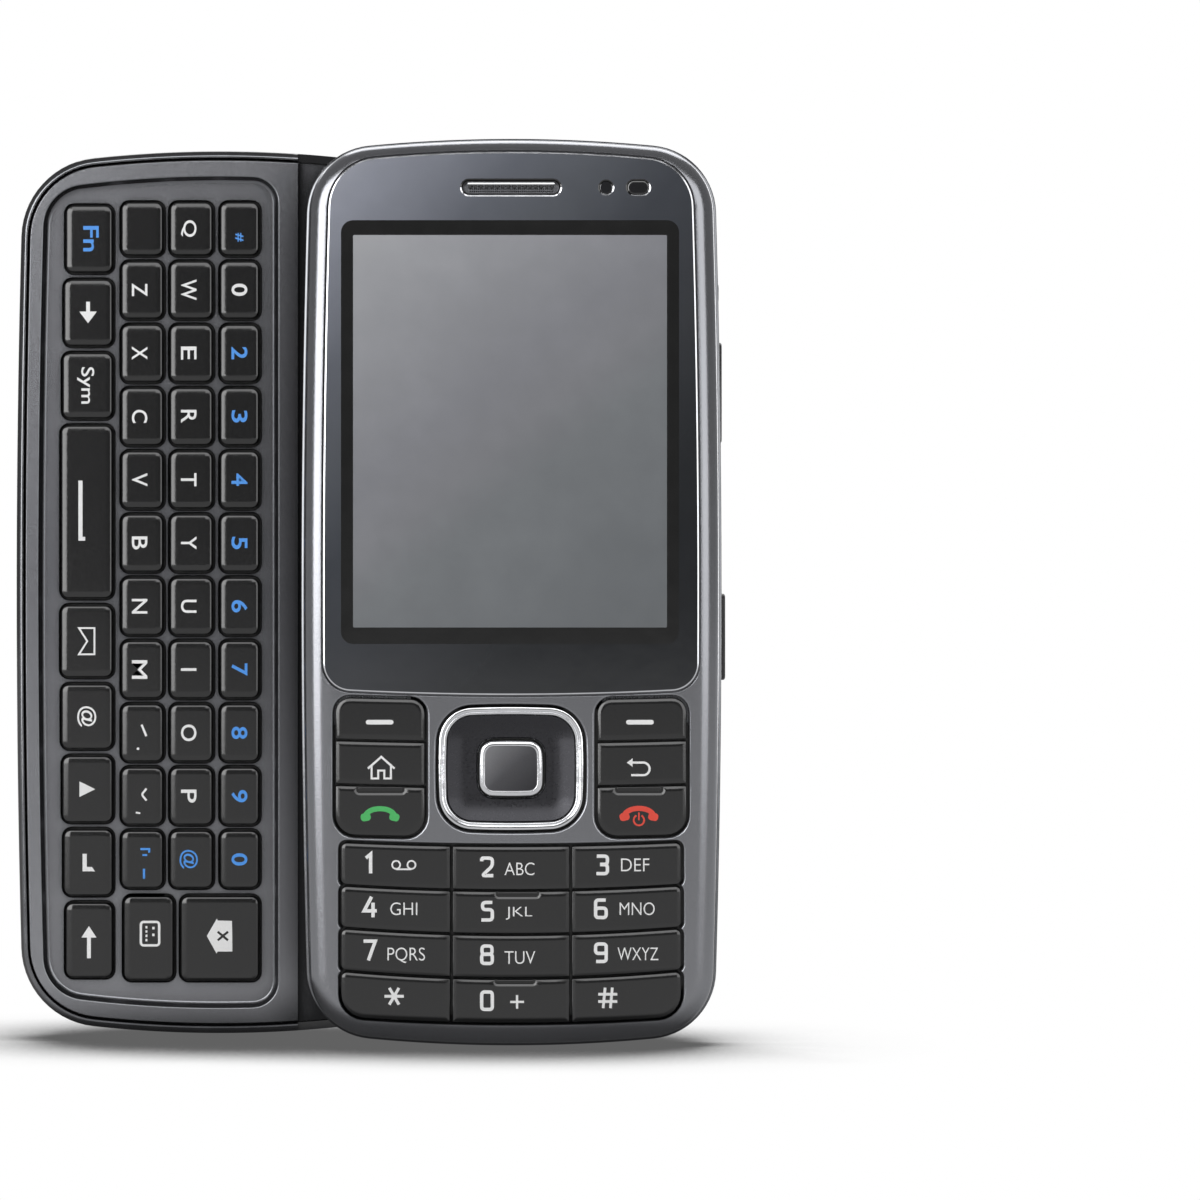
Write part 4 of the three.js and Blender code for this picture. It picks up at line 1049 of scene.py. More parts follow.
# The phone

BASE_BOX = Box.centred(0, 0, 51.2, 111.0)
BASE_FORM = BASE_BOX.rounded(10.2, 14, 28, left=0.91, right=0.91, top=2.24, bottom=2.24)
SLIDE_BOX = Box.centred(0, 0, 52.4, 113.0)
SLIDE_FORM = SLIDE_BOX.rounded(8.6, 14, 28, left=0.97, right=0.97, top=1.84, bottom=1.84)


def inset_edge(form: Outline, number: int, inset: float) -> Arc:
    """Gives one bowed edge of an outline, moved inwards for a smaller outline."""
    return form.edges[number].narrowed(inset)


@dataclass
class Housing:
    """The base's rim, deck, rear shell and back.

    Its fields are the sizes of those parts, in millimetres.
    """

    step_x: float = 9.85
    deck_under: float = 7.5
    deck_top: float = 9.2
    well_floor: float = 8.35
    rim_wall: float = 1.0
    step_depth: float = 0.7
    deck_gap: float = 0.14
    deck_round: float = 0.2
    well_side: float = 2.8
    well_end: float = 3.2
    well_right: float = 7.4
    well_slope: float = 0.75
    hole_ease: float = 0.08
    cover_skin: float = 0.8
    back_round: float = 5.2
    cover_side: float = 4.0
    seam_y: float = -43.6
    camera_y: float = 39.0
    speaker_x: float = -12.6
    speaker_y: float = 38.8
    speaker_pitch: Point = (1.44, 1.49)
    speaker_radius: float = 0.5
    beyond: Point = (30.0, 60.0)

    @property
    def camera_ring(self) -> Outline:
        """The outline of the camera's ring."""
        return Box.centred(0, self.camera_y, 9.2, 8.8).rounded(3.0, 12)

    @property
    def seam(self) -> Outline:
        """The outline whose lower edge parts the cover from the end cap."""
        box = Box(BASE_BOX.left - 2.4, BASE_BOX.right + 2.4, self.seam_y, 111.0)
        return box.rounded(12.0, 16, 40, bottom=0.4)

    def back_profile(self, under: float, side: float, steps: int = 14) -> Profile:
        """Gives the back's rounded section, some way under its surface.

        Args:
            under: how far under the surface.
            side: the height that it ends at.
            steps: round the section.

        Returns:
            Pairs of inset and height.
        """
        angles = [math.pi / 2 * k / steps for k in range(steps + 1)]
        return [(under + (self.back_round - under) * (1 - math.sin(a)),
                 under + (side - under) * (1 - math.cos(a))) for a in angles]

    def right_end(self, low: float, high: float) -> Body:
        """Makes the block that clears the base's right end for the slide."""
        x, y = self.beyond
        return block((self.step_x, x), (-y, y), (low, high))

    def rim(self) -> None:
        """Builds the gloss frame round the deck, its right end stepped down under the slide."""
        top, wall = self.deck_top, self.rim_wall
        outer = [(0.0, top - 0.54), (0.02, top - 0.48), (0.06, top - 0.42), (0.4, top - 0.065)]
        crest = [(0.66, top - 0.003), (0.7, top), (0.88, top), (0.91, top - 0.1), (wall, top - 0.3)]
        ring = hoop(BASE_FORM, [(0.0, self.deck_under), *outer, *crest, (wall, self.deck_under)])
        step = self.right_end(top - self.step_depth, top + OVERRUN)
        # Painted light: the crest and its gentle outer slope get the black chromium plate, which shows a
        # bright line, and the steep sides polished black ABS, which stays dark
        ring = ring.cut(Cut.AWAY, step).zoned(lambda points: int(min(p[2] for p in points) < top - 0.07))
        publish(ring, "gloss_rim", Half.BASE, "base", ["black_chromium_plate", "polished_black_abs"],
                ["base_rim"])

    def well_outline(self) -> Outline:
        """Draws the sunken well.

        Returns:
            Its outline.
        """
        box = Box(BASE_BOX.left + self.well_side, self.well_right,
                  BASE_BOX.bottom + self.well_end, BASE_BOX.top - self.well_end)
        edges = (box.edges()[0], inset_edge(BASE_FORM, 1, self.well_end),
                 inset_edge(BASE_FORM, 2, self.well_side), inset_edge(BASE_FORM, 3, self.well_end))
        return Outline(edges, (3.3, 5.4, 5.4, 3.3), box.corners, 12, 28)

    def deck(self, holes: Iterable[Box]) -> None:
        """Builds the deck: its soft-edged well and an eased opening for each key.

        Args:
            holes: the boxes of the keys that come through it.
        """
        inset, top, floor = self.rim_wall + self.deck_gap, self.deck_top, self.well_floor
        deck = loft(BASE_FORM, [(inset, self.deck_under), *rounding(inset, top, self.deck_round)])
        wall = self.well_slope
        slope = [(wall, floor), (wall * 0.72, floor + 0.06), (wall * 0.5, floor + 0.2),
                 (wall * 0.12, top - 0.16), (wall * 0.04, top - 0.06), (-0.04, top - 0.01), (-0.1, top)]
        well = loft(self.well_outline(), [*slope, (-0.1, top + OVERRUN)])
        recess = self.right_end(floor, top + OVERRUN)
        cutters = Body()
        for box in holes:
            cutters.add(loft(box.rounded(0.9, 6), [
                (-GAP, self.deck_under - OVERRUN), (-GAP, floor - self.hole_ease),
                (-GAP - self.hole_ease, floor), (-GAP - self.hole_ease, floor + 0.5)]))
        publish(deck.cut(Cut.AWAY, well, recess, cutters), "keyboard_deck", Half.BASE, "base",
                ["deck_flake_paint"], ["base_deck"])

    def back(self) -> None:
        """Builds the battery cover and the end cap, parted by the bowed seam."""
        side = self.cover_side
        outer = loft(BASE_FORM, self.back_profile(0.0, side, 20))
        inside = self.back_profile(self.cover_skin, side)
        inner = loft(BASE_FORM, [*inside, (self.cover_skin, side + OVERRUN)])
        skin = outer.cut(Cut.AWAY, inner)
        seam = slab(self.seam, -OVERRUN, side + OVERRUN)
        wider = slab(self.seam, -OVERRUN, side + OVERRUN, -GAP)
        ring = slab(self.camera_ring, -OVERRUN, self.cover_skin + OVERRUN, -GAP)
        ease = self.speaker_radius + 0.12
        holes = Body()
        for column in range(4):
            for row in range(3):
                x = self.speaker_x + (column - 1.5) * self.speaker_pitch[0]
                y = self.speaker_y + (row - 1) * self.speaker_pitch[1]
                holes.add(turned_rings(x, y, [
                    (ease, -OVERRUN), (ease, 0.0), (self.speaker_radius, 0.12),
                    (self.speaker_radius, self.cover_skin + OVERRUN)], 24))
        paint = ["graphite_flake_paint"]
        publish(skin.cut(Cut.SHARED, seam).cut(Cut.AWAY, ring, holes), "back_cover_skin", Half.BASE,
                "battery_cover", paint, ["battery_cover"], bevel=0.08)
        notch = loft(round_bar(0, self.seam_y - 1.0, 8.6, 2.0), [
            (-0.15, -OVERRUN), (-0.15, 0.0), (0.1, 0.25), (0.3, 0.5)])
        publish(skin.cut(Cut.AWAY, wider, notch), "back_end_cap", Half.BASE, "base",
                paint, ["rear_end_cap"], bevel=0.08)

    def camera(self) -> None:
        """Builds the camera's plated ring, its glass and the lens that shows through it."""
        form = self.camera_ring
        low, high, rim = 0.05, 1.35, 1.0
        section = [(rim, high), (rim, low + 0.45), (rim - 0.12, low + 0.2), (rim - 0.32, low + 0.06),
                   (rim / 2, low), (0.3, low + 0.03), (0.12, low + 0.14), (0.0, low + 0.4), (0.0, high)]
        publish(hoop(form, section), "camera_ring", Half.BASE, "base",
                ["chromium_plate"], ["camera_bezel"])
        glass = loft(form, [(1.25, 0.3), (1.15, 0.36), (1.15, 0.9)])
        publish(glass, "camera_window", Half.BASE, "base",
                ["coated_lens_glass"], ["camera_glass"])
        ring = turned_rings(0, self.camera_y, [(1.45, 0.2), (1.56, 0.23), (1.6, 0.34)], 48)
        bowl = turned_rings(0, self.camera_y, [
            (0.6, -0.2), (1.3, 0.19), (1.3, 0.2), (1.15, 0.26), (0.8, 0.285), (0.1, 0.29)], 48)
        publish(ring.cut(Cut.AWAY, bowl), "camera_lens_ring", Half.BASE, "base",
                ["moulded_black_abs"])
        lens = turned_rings(0, self.camera_y, [(0.05, 0.12), (0.4, 0.14), (0.66, 0.2), (0.72, 0.3)], 40)
        publish(lens, "camera_lens", Half.BASE, "base", ["coated_lens_glass"])


@dataclass
class Keyboard:
    """The letter keyboard: eight strips of keys on a silicone mat.

    Its fields are the sizes of the keys, in millimetres.
    """

    mat_low: float = 6.85
    mat_high: float = 7.2
    mat_reach: float = 0.35
    cap_top: float = 9.05
    cap_radius: float = 0.9
    cap_draft: float = 0.04
    cap_round: float = 0.12
    cap_bevel: float = 0.16
    cap_fall: float = 0.07
    cap_swell: float = 0.45
    columns: tuple[Point, ...] = ((-19.95, -13.54), (-12.33, -7.19), (-6.21, -0.96), (0.11, 4.88))
    function_lengths: tuple[float, ...] = (8.3, 8.2, 8.1, 21.6, 8.9, 8.0, 8.2, 8.2, 9.3)
    function_top: float = 48.6
    function_space: float = 1.03
    letter_top: float = 49.0
    letter_space: float = 0.89
    first_letter: float = 6.55
    letter_foot: float = 6.7
    function_foot: float = 7.06
    symbol_span: Point = (-12.03, -5.87)
    delete_span: Point = (-4.86, 4.88)
    last_key: float = 10.5
    last_space: float = 1.15

    def column(self, span: Point, top: float, lengths: Sequence[float], space: float) -> list[Box]:
        """Lines up a column of keys, from the top down.

        Args:
            span: its left and right edges.
            top: its upper end.
            lengths: how long each key is.
            space: between neighbouring keys.

        Returns:
            The keys' boxes.
        """
        boxes = []
        for length in lengths:
            boxes.append(Box(span[0], span[1], top - length, top))
            top -= length + space
        return boxes

    def strips(self) -> dict[str, list[Box]]:
        """Lays out the keys of every strip.

        Returns:
            The boxes of its keys, by the name of the frame's node that they ride on.
        """
        half = BASE_BOX.top
        room = self.letter_top + half - self.letter_foot - self.last_key - self.last_space
        letter = (room - self.first_letter) / 10 - self.letter_space
        lengths = [self.first_letter] + [letter] * 10
        rise = self.function_top + half - self.function_foot - 8 * self.function_space
        shares = [length * rise / sum(self.function_lengths) for length in self.function_lengths]
        functions = [replace(box, left=box.left + ((box.top + box.bottom) / (2 * half)) ** 2)
                     for box in self.column(self.columns[0], self.function_top, shares, self.function_space)]
        lower, upper, numbers = (
            self.column(span, self.letter_top, lengths, self.letter_space) for span in self.columns[1:])
        end = upper[-1].bottom - self.last_space
        symbol = Box(*self.symbol_span, end - self.last_key, end)
        delete = Box(*self.delete_span, end - self.last_key, end)
        return {
            "keyboard_fn_strip": functions[:3],
            "keyboard_space_bar": [functions[3]],
            "keyboard_mail_strip": functions[4:8],
            "keyboard_shift_key": [functions[8]],
            "keyboard_lower_letters": [*lower, symbol],
            "keyboard_upper_letters": upper,
            "keyboard_numbers": numbers,
            "keyboard_delete_key": [delete],
        }

    def cap(self, box: Box) -> Body:
        """Builds one key cap: drafted sides, a rounded edge and a bevel that falls away to it.

        Args:
            box: of the key.

        Returns:
            The cap.
        """
        draft, edge = self.cap_draft, self.cap_round
        return loft(box.rounded(self.cap_radius, 6), [
            (0.0, self.mat_high - 0.05), *rounding(draft, self.cap_top - self.cap_fall, edge, 5),
            (draft + edge + self.cap_bevel, self.cap_top - self.cap_fall * 0.2),
            (draft + edge + self.cap_bevel + self.cap_swell, self.cap_top)])

    def build(self) -> None:
        """Builds every strip: its keys, and the mat that joins them."""
        for name, boxes in self.strips().items():
            body = Body()
            for box in boxes:
                body.add(self.cap(box))
            publish(body, f"caps_{name}", Half.BASE, name,
                    ["moulded_key_polycarbonate"])
            first, last = boxes[0], boxes[-1]
            wide = last.right > first.right
            strip = Box(min(box.left for box in boxes), first.right,
                        last.top if wide else last.bottom, first.top)
            mats = [strip, last] if wide else [strip]
            mat = Body()
            for box in mats:
                shrink = 0.01 if box is last and wide else 0.0
                mat.add(loft(box.grown(self.mat_reach - shrink).rounded(self.cap_radius, 6), [
                    (0.0, self.mat_low), *rounding(0.0, self.mat_high, 0.1, 3)]))
            publish(mat, f"mat_{name}", Half.BASE, name, ["moulded_silicone"], [name])


@dataclass
class Screen:
    """The window of the slide with the panel behind it, the earpiece and the two sensors.

    Its fields are their sizes, in millimetres.
    """

    top: float = 15.85
    back: float = 14.65
    side_inset: float = 2.85
    top_inset: float = 1.85
    bottom: float = -12.8
    bevel: float = 0.2
    bevel_fall: float = 0.05
    border: Box = Box(-21.1, 20.85, -6.45, 46.14)
    active: Box = Box(-19.6, 19.35, -4.4, 44.3)
    earpiece: Point = (0.0, 50.2)
    earpiece_size: Point = (12.2, 1.8)
    camera: Point = (11.8, 50.2)
    camera_radius: float = 0.8
    sensor: Point = (15.8, 50.2)
    sensor_size: Point = (2.7, 1.7)
    slack: float = 0.05
    sensor_low: float = 12.5

    @property
    def outline(self) -> Outline:
        """The outline of the window.

        Returns:
            Three edges drawn in from the slide's own and one above the keys.
        """
        box = Box(SLIDE_BOX.left + self.side_inset, SLIDE_BOX.right - self.side_inset,
                  self.bottom, SLIDE_BOX.top - self.top_inset)
        edges = (inset_edge(SLIDE_FORM, 0, self.side_inset), inset_edge(SLIDE_FORM, 1, self.top_inset),
                 inset_edge(SLIDE_FORM, 2, self.side_inset), box.edges(bottom=0.7)[3])
        return Outline(edges, (6.2, 6.2, 3.5, 3.5), box.corners, 14, 28)

    def window(self) -> None:
        """Builds the window, its dark border and the panel's area let into its face."""
        form = self.outline
        ear, wide_ear = (round_bar(*self.earpiece, *self.earpiece_size).points(-out)
                         for out in (self.slack, 0.22))
        camera, wide_camera = (circle(*self.camera, self.camera_radius + out) for out in (self.slack, 0.2))
        sensor, wide_sensor = (round_bar(*self.sensor, *self.sensor_size).points(-out)
                               for out in (self.slack, 0.2))
        body = Body()
        profile = [(0.0, self.back), (0.0, self.top - 0.12), (0.04, self.top - self.bevel_fall),
                   (self.bevel, self.top)]
        rings = [body.ring(form.points(inset), z) for inset, z in profile]
        for low, high, zone in zip(rings, rings[1:], (0, 3, 3)):
            body.wall(low, high, zone)
        lows, highs = [], []
        for centre, highlight_lean, hole, mouth in (
                (self.earpiece, 0.0, ear, wide_ear), (self.camera, 0.7, camera, wide_camera),
                (self.sensor, 0.7, sensor, wide_sensor)):
            lows.append(body.ring(hole[::-1], self.back))
            edge = body.ring(hole[::-1], self.top - self.bevel_fall)
            highs.append(body.ring(mouth[::-1], self.top))
            body.wall(lows[-1], edge, 1)
            # Painted highlight: the lower side of the earpiece's mouth and the lower right of the camera's
            # and sensor's get the bright metallised bevel, the rest black print
            body.wall(edge, highs[-1],
                      lambda p: 3 if highlight_lean * (p[0] - centre[0]) - (p[1] - centre[1]) > highlight_lean * 0.5 else 1)
        border = body.ring(self.border.rounded(1.5, 6).points(), self.top)
        active = body.ring(self.active.rounded(0.1, 1).points(), self.top)
        body.cap([rings[0], *lows], up=False)
        body.cap([rings[-1], *highs, border], up=True)
        body.cap([border, active], up=True, zone=1)
        body.cap([active], up=True, zone=2)
        zones = ["smoked_acrylic", "printed_black_border", "unlit_liquid_crystal", "metallised_bevel"]
        publish(body, "smoked_window_face", Half.SLIDE, "slide", zones, ["display_window"])

    def fittings(self) -> None:
        """Builds the earpiece with its mesh and black blocks painted as the shade of its gaps, the small
        camera and the sensor.
        """
        x, y = self.earpiece
        bar = round_bar(x, y, *self.earpiece_size)
        top = self.top - 0.1
        rim = hoop(bar, [(0.26, self.back), (0.26, top - 0.2), (0.2, top - 0.05), (0.12, top),
                         (0.04, top - 0.05), (0.0, top - 0.2), (0.0, self.back)])
        publish(rim, "earpiece_rim", Half.SLIDE, "slide",
                ["polished_black_abs"], ["earpiece_grille"])
        glint = loft(round_bar(x, y + 0.5, 10.9, 0.24), [
            (0.0, top - 0.5), (0.0, top - 0.19), (0.11, top - 0.16)])
        publish(glint, "earpiece_bar", Half.SLIDE, "slide", ["chromium_plate"])
        low, high = self.back, top - 0.45
        holes = [circle(x + (k - 19.5) * 0.26, y + (row - 1.5) * 0.3, 0.085, 10)
                 for k in range(40) for row in range(4)]
        mesh = prism([bar.points(0.3), *holes], low, high)
        publish(mesh, "earpiece_mesh", Half.SLIDE, "slide", ["satin_flake_paint"])
        # Painted shade: black blocks stand for the dark gaps of the grille
        gap_shades = Body()
        for k in range(16):
            at = x + (k - 7.5) * 0.68
            gap_shades.add(loft(Box(at - 0.2, at + 0.2, y - 0.06, y + 0.37).rounded(0.05, 2), [
                (0.0, high - 0.1), (0.0, top - 0.2), (0.05, top - 0.12)]))
        publish(gap_shades, "earpiece_gap_shade", Half.SLIDE, "slide", ["moulded_black_abs"])
        camera = turned_rings(*self.camera, [
            (self.camera_radius, self.sensor_low), (self.camera_radius, top - 0.08),
            (0.76, top - 0.02), (0.7, top), (0.05, top)], 32)
        publish(camera, "front_lens", Half.SLIDE, "slide",
                ["coated_lens_glass"], ["front_camera"])
        sensor = loft(round_bar(*self.sensor, *self.sensor_size), [
            (0.0, self.sensor_low), (0.0, top - 0.1), (0.05, top - 0.02), (0.14, top), (0.22, top - 0.06)])
        publish(sensor, "sensor_window", Half.SLIDE, "slide",
                ["coated_lens_glass"], ["light_sensor"])


@dataclass
class FrontKeys:
    """The keys on the slide's face and the navigation key between them.

    Its fields are their sizes, in millimetres.
    """

    low: float = 13.5
    top: float = 15.9
    proud: float = 16.0
    nav_y: float = -21.9
    nav_low: float = 14.2
    pad_half: float = 21.1
    pad_top: float = -31.6
    pad_divider: float = 7.406
    row_pitch: float = 5.46
    dips: tuple[float, ...] = (0.5, 0.7, 0.85, 1.0, 0.8)
    block_x: Point = (10.7, 21.8)
    block_top: float = -13.4
    block_heights: tuple[float, ...] = (5.25, 5.55, 6.2)
    block_dip: float = 0.3
    dish_reach: float = 2.6
    dish_depth: float = 0.5
    pillow: float = 0.08
    edge_round: float = 0.14
    bevel: float = 0.36
    bevel_fall: float = 0.085
    notch_depth: float = 0.6
    notch_gap: float = 0.24
    notches: dict[str, Place] = field(default_factory=lambda: {
        "call_key": (-16.2, 6.0, 0.8), "end_key": (15.9, 6.0, 0.8),
        "key_5": (0.8, 5.4, 0.65), "key_0": (0.5, 5.1, 0.55)})
    names: tuple[str, ...] = ("1", "2", "3", "4", "5", "6", "7", "8", "9", "star", "0", "hash")

    def sagging(self, span: Point, top: Point, bottom: Point, radii: tuple[float, ...]) -> Outline:
        """Gives a key's outline between two edges that sag towards the middle.

        Args:
            span: its left and right edges.
            top: its upper edge's height in the middle, and that edge's dip.
            bottom: its lower edge's height in the middle, and that edge's dip.
            radii: its corner radii.

        Returns:
            The outline.
        """

        def dipped(height: float, dip: float, side: int) -> Arc:
            """Gives one sagging edge."""
            radius = (self.pad_half ** 2 + dip * dip) / (2 * dip)
            return Arc(0.0, height + radius, radius, side)

        upper, lower = dipped(*top, -1), dipped(*bottom, 1)

        def on(edge: Arc, x: float) -> Point:
            """Gives the point of an edge at one x."""
            return (x, edge.y - math.sqrt(edge.radius ** 2 - x * x))

        left, right = span
        return Outline((Line(0, right, 1), upper, Line(0, left, -1), lower), radii,
                       (on(upper, right), on(upper, left), on(lower, left), on(lower, right)), 6, 10)

    def number_forms(self) -> dict[str, Outline]:
        """Draws the number keys.

        Returns:
            Their outlines by name.
        """
        columns = (-self.pad_half, -self.pad_divider, self.pad_divider, self.pad_half)
        forms = {}
        for k, name in enumerate(self.names):
            row, column = divmod(k, 3)
            left = columns[column] + (KEY_GAP / 2 if column > 0 else 0)
            right = columns[column + 1] - (KEY_GAP / 2 if column < 2 else 0)
            top = self.pad_top - row * self.row_pitch - (KEY_GAP / 2 if row > 0 else 0)
            bottom = self.pad_top - (row + 1) * self.row_pitch + (KEY_GAP / 2 if row < 3 else 0)
            foot = 3.0 if row == 3 else 0.7
            radii = (0.7 if column == 2 else 0.15, 0.7 if column == 0 else 0.15,
                     foot if column == 0 else 0.15, foot if column == 2 else 0.15)
            forms[f"key_{name}"] = self.sagging(
                (left, right), (top, self.dips[row]), (bottom, self.dips[row + 1]), radii)
        return forms

    def block_forms(self) -> dict[str, Outline]:
        """Draws the six keys beside the navigation key.

        Returns:
            Their outlines by name.
        """
        forms = {}
        for side, names in ((-1, ("soft_key_left", "home_key", "call_key")),
                            (1, ("soft_key_right", "back_key", "end_key"))):
            near, far = self.block_x
            span = (-far, -near) if side < 0 else (near, far)
            y = self.block_top
            for k, (name, height) in enumerate(zip(names, self.block_heights)):
                top = y - (KEY_GAP / 2 if k > 0 else 0)
                bottom = y - height + (KEY_GAP / 2 if k < 2 else 0)
                y -= height
                head, foot = (1.8 if k == 0 else 0.15), (2.5 if k == 2 else 0.15)
                forms[name] = self.sagging(span, (top, self.block_dip), (bottom, self.block_dip),
                                           (head, head, foot, foot))
        return forms

    @property
    def nav_outline(self) -> Outline:
        """The outline of the navigation ring."""
        return Box.centred(0, self.nav_y, 18.0, 15.3).rounded(
            4.2, 14, 14, left=0.35, right=0.35, top=0.35, bottom=0.35)

    @property
    def centre_outline(self) -> Outline:
        """The outline of the centre key."""
        return Box.centred(0, self.nav_y, 7.9, 6.95).rounded(
            1.7, 12, 10, left=0.15, right=0.15, top=0.15, bottom=0.15)

    def keys(self) -> None:
        """Builds the eighteen flat keys, bevelled, four of them notched for a fingertip to find."""
        for name, form in {**self.block_forms(), **self.number_forms()}.items():
            edge, fall, top = self.edge_round, self.bevel_fall, self.top
            body = loft(form, [(0.0, self.low), *rounding(0.0, top - fall, edge, 4),
                               (edge + self.bevel / 2, top - fall * 0.35),
                               (edge + self.bevel, top - fall * 0.05), (edge + self.bevel * 1.5, top)])
            if name in self.notches:
                x, width, depth = self.notches[name]
                upper = form.edges[1]
                edge_y = upper.y - math.sqrt(upper.radius ** 2 - x * x)
                mouth = Box(x - width / 2, x + width / 2, edge_y - depth, edge_y + OVERRUN)
                notch = loft(mouth.rounded(0.4, 5), [
                    (0.0, top - self.notch_depth), (0.0, top - 0.08), (-0.3, top + 0.01)])
                nib = Box(x - width / 2 + self.notch_gap, x + width / 2 - self.notch_gap,
                          edge_y - depth + self.notch_gap, edge_y - 0.04)
                body = body.cut(Cut.AWAY, notch).add(loft(nib.rounded(0.08, 3), [
                    (0.0, top - self.notch_depth - 0.3), *rounding(0.0, top - 0.02, 0.08, 3)]))
            publish(body, f"cap_{name}", Half.SLIDE, name,
                    ["moulded_key_polycarbonate"], [name])

    def navigation(self) -> None:
        """Builds the plated ring, the dished pad and the brushed centre key."""
        form, rim, proud = self.nav_outline, 0.92, self.proud
        foot = self.nav_low
        section = [(rim, foot), (rim, proud - 0.32), (rim - 0.05, proud - 0.26), (rim - 0.16, proud - 0.22),
                   (rim - 0.3, proud - 0.225), (rim - 0.36, proud - 0.25), (rim - 0.37, proud - 0.12),
                   (rim - 0.4, proud - 0.05), (rim - 0.6, proud - 0.005), (0.24, proud),
                   (0.06, proud - 0.045), (0.0, proud - 0.2), (0.0, foot)]
        publish(hoop(form, section), "plated_ring", Half.SLIDE, "nav",
                ["chromium_plate"], ["nav_ring"])
        edge, hole = self.top - 0.28, self.centre_outline
        body = Body()
        outer = [body.ring(form.points(inset), z) for inset, z in [
            (rim + 0.12, foot), (rim + 0.12, edge - 0.05), (rim + 0.2, edge)]]
        dish = [body.ring(form.points(rim + 0.2 + self.dish_reach * share),
                          edge - self.dish_depth * math.sin(math.pi / 2 * share))
                for share in (0.2, 0.4, 0.6, 0.8, 1.0)]
        inner = [body.ring(hole.points(inset)[::-1], z) for inset, z in [
            (-GAP, foot), (-GAP, edge - self.dish_depth - 0.1), (-GAP - 0.1, edge - self.dish_depth)]]
        for rings in (outer + dish, inner):
            for low, high in zip(rings, rings[1:]):
                body.wall(low, high)
        body.cap([outer[0], inner[0]], up=False)
        body.cap([dish[-1], inner[-1]], up=True)
        publish(body, "dished_pad", Half.SLIDE, "nav",
                ["dark_metallic_lacquer"], ["nav_pad"])
        self.centre_key()

    def centre_key(self) -> None:
        """Builds the centre key: a bright bevelled rim round a grained pillow."""
        body, form, top = Body(), self.centre_outline, self.proud
        section = [(0.0, self.low), (0.0, top - 0.3), (0.04, top - 0.2), (0.14, top - 0.13),
                   (0.58, top - 0.03), (0.66, top - 0.06), (0.74, top - 0.16)]
        rings = [body.ring(form.points(inset), z) for inset, z in section]
        body.cap([rings[0]], up=False)
        for low, high in zip(rings, rings[1:]):
            body.wall(low, high)
        pillow = [body.ring(form.points(0.74 + 2.6 * share),
                            top - 0.16 + self.pillow * math.sin(math.pi / 2 * share))
                  for share in (0.1, 0.2, 0.35, 0.5, 0.65, 0.8, 1.0)]
        for low, high in zip([rings[-1], *pillow], pillow):
            body.wall(low, high, 1)
        body.cap([pillow[-1]], up=True, zone=1)
        publish(body, "centre_face", Half.SLIDE, "center_key", ["chromium_plate", "blasted_aluminium"],
                ["center_key"])


